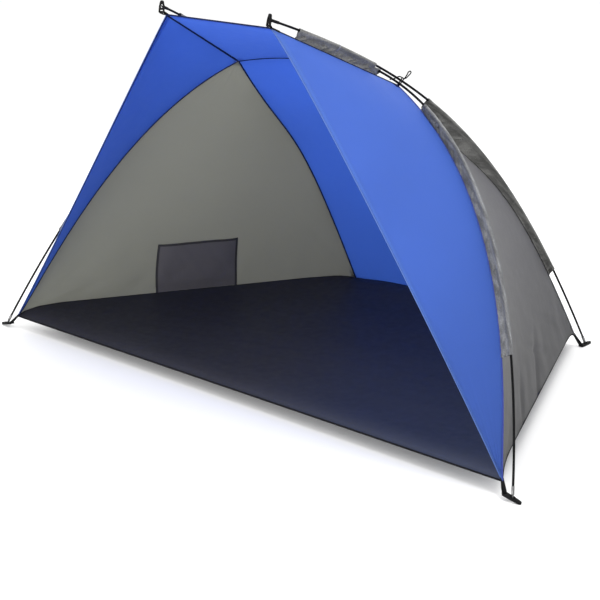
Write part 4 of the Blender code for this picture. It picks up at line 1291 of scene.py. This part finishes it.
def patch(name, panel, u_span, v_span, lift, material, slot):
    """A reinforcement sewn over a part of a panel, stitched a little inside its edges."""
    u, v = np.meshgrid(np.linspace(*u_span, PATCH_STEPS), np.linspace(*v_span, PATCH_STEPS))
    p, n = panel.sample(u, v)
    closed_sheet(name, p + n * lift, n, [material] * 2, slot)
    path, normals = (np.concatenate((g[0, :-1], g[:-1, -1], g[-1, :0:-1], g[:0:-1, 0])) for g in (p, n))
    path = path + (p.reshape(-1, 3).mean(0) - path) * PATCH_INSET
    stitches(f"{name}_stitches", path + normals * lift, normals * np.sign(lift), BLACK_THREAD, slot,
             CLOTH / 2)


for word in SIDES:
    for name, panels, *rest in PATCHES:
        patch(f"{name}_{word}", panels[word], *rest)
for word, span in (("left", (0.0, 0.035)), ("right", (0.965, 1.0))):
    patch(f"roof_tip_patch_{word}", roof, span, (0.950, 1.0), 2.2 * CLOTH, BINDING, BLACK_SLOT)
    patch(f"roof_cross_patch_{word}", roof, span, (0.0, 0.05), OUTSIDE, BLUE, BLUE_SLOT)
for word, span in (("left", (0.0, 0.010)), ("right", (0.990, 1.0))):
    patch(f"floor_foot_patch_{word}", floor, span, (0.0, 0.016), OUTSIDE, BINDING, BLACK_SLOT)


# ---- tie cords
TIE_RADIUS = 0.00175
TIE_ROUTE = (                  # millimetres along the poles, to the front, and up, from where they cross
    (-3, 1.5, -12), (-3, -4.5, -11), (-3, -9, -7), (-3, -10, 0), (-3, -7, 9), (-2.5, 0, 13),
    (-2, 8, 9), (-1, 10, 0), (0.5, 8, -9), (2, 0, -12.5), (2.5, -8, -9.5), (2.5, -12, -1),
    (2.5, -12, 6), (3, -8.5, 12.5), (4, -4, 18), (4, -1, 25), (3.6, 1, 32), (3, 3, 38),
    (6, 4, 43), (10, 4, 41), (10.3, 3.5, 35), (9, 3, 28), (8, 3.5, 21), (4, 7, 15),
    (-4, 7.5, 14), (-11, 3, 12.5), (-16, 0, 7), (-20, -1, 0), (-25, -1, -6), (-31, -1, -11),
)

def smoothed(points, between=6):
    """Points along a smooth curve through the given points."""
    result = []
    last = len(points) - 1
    for i in range(last):
        a, b, c, d = (points[max(0, min(last, i + k))] for k in (-1, 0, 1, 2))
        for t in np.arange(between) / between:
            result.append((b * 2.0 + (c - a) * t + (a * 2.0 - b * 5.0 + c * 4.0 - d) * t * t
                           + (b * 3.0 - a - c * 3.0 + d) * t**3) * 0.5)
    return np.array([*result, points[-1]])


def tie_cord(word, side):
    on_side = np.flatnonzero(HOOP.points[:, 0] * side > 0.1)
    ribs = RIBS[word].points
    gaps = np.linalg.norm(HOOP.points[on_side][:, None] - ribs[None], axis=2)
    one, other = np.unravel_index(gaps.argmin(), gaps.shape)
    one = on_side[one]
    crossing = (HOOP.points[one] + ribs[other]) / 2.0
    hoop_way = unit(HOOP.points[one + 4] - HOOP.points[one - 4]) * side
    along = unit(hoop_way + unit(ribs[other - 4] - ribs[other + 4]))
    up = crossing - CROSS_CORNER * (side, 1, 1)
    up = unit(up - along * np.dot(up, along))
    front = np.cross(up, along) * side
    front = -front if front[1] > 0.0 else front
    path = smoothed([crossing + (along * a + front * f + up * u) * 0.001 for a, f, u in TIE_ROUTE])
    shape = bpy.data.curves.new(f"tie_cord_braid_{word}", "CURVE")
    shape.dimensions = "3D"
    shape.bevel_depth = TIE_RADIUS
    shape.bevel_resolution = 4
    shape.use_fill_caps = True
    spline = shape.splines.new("POLY")
    spline.points.add(len(path) - 1)
    spline.use_smooth = True
    for point, place in zip(spline.points, path):
        point.co = (*place, 1.0)
    shape.materials.append(CORD)
    made = new_object(f"tie_cord_braid_{word}", shape)
    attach(made, ROOT)
    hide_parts(f"tie_cord_{word}")
    float(lengths(path)[-1])


for word, side in SIDES.items():
    tie_cord(word, side)

# ---- materials on CAD nodes
for name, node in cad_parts.items():
    finish = PLASTIC if "foot" in name or "holder" in name else ELASTIC if "shock" in name else None
    if finish:
        node.data.materials.clear()
        node.data.materials.append(finish)


# ---- camera, light and floor
CAMERA_PLACE = (3.4272, -3.8956, 1.7957)
CAMERA_AZIMUTH, CAMERA_ELEVATION, CAMERA_ROLL = (math.radians(a) for a in (43.386, 17.213, -0.042))
CAMERA_LENS = 98.1
SKY_STRENGTH = 1.07
FLOOR_REACH = 40.0
LAMPS = (                      # name, place, target, size and power
    ("top", (1.7, -0.3, 4.2), (0.2, 0.0, 0.6), 2.0, 80.0),
    ("front", (-0.5, -4.6, 1.1), (-0.1, 0.2, 0.55), 2.6, 55.0),
    ("left_rear", (-2.2, 2.0, 2.0), (-0.5, 0.4, 0.6), 1.8, 30.0),
    ("front_low", (0.2, -2.6, 0.55), (0.0, 0.3, 0.75), 1.2, 20.0),
)


def add_camera():
    """A camera that looks along its azimuth and down by its elevation."""
    turns = ((CAMERA_AZIMUTH, "Z"), (math.pi / 2 - CAMERA_ELEVATION, "X"), (CAMERA_ROLL, "Z"))
    azimuth, tilt, roll = (Matrix.Rotation(angle, 4, axis) for angle, axis in turns)
    camera = bpy.data.cameras.new("camera")
    camera.lens = CAMERA_LENS
    camera.sensor_width = 36.0
    made = new_object("camera", camera)
    made.matrix_world = Matrix.Translation(CAMERA_PLACE) @ azimuth @ tilt @ roll
    bpy.context.scene.camera = made


def add_area(name, place, target, size, power):
    light = bpy.data.lights.new(name, "AREA")
    light.shape = "SQUARE"
    light.size = size
    light.energy = power
    way = Vector(target) - Vector(place)
    turn = way.to_track_quat("-Z", "Y").to_matrix().to_4x4()
    new_object(name, light).matrix_world = Matrix.Translation(place) @ turn


def add_world():
    world = bpy.data.worlds.new("studio")
    bpy.context.scene.world = world
    world.use_nodes = True
    background = world.node_tree.nodes["Background"]
    background.inputs["Color"].default_value = (1.0, 1.0, 1.0, 1.0)
    background.inputs["Strength"].default_value = SKY_STRENGTH


def add_floor():
    m = Nodes("studio_floor")
    pale = ((0.0, (0.94, 0.94, 0.94)), (1.0, (0.96, 0.96, 0.96)))
    m.surface(Roughness=0.9, Base_Color=m.ramp(m.noise(m.place, 0.8), pale))
    mesh = bpy.data.meshes.new("studio_floor")
    corners = [(x * FLOOR_REACH, y * FLOOR_REACH, 0) for x, y in ((-1, -1), (1, -1), (1, 1), (-1, 1))]
    mesh.from_pydata(corners, [], [(0, 1, 2, 3)])
    mesh.materials.append(m.material)
    new_object("studio_floor", mesh)


add_camera()
add_world()
for lamp in LAMPS:
    add_area(*lamp)
add_floor()
bpy.context.scene.view_settings.view_transform = "Standard"

bpy.context.view_layer.update()
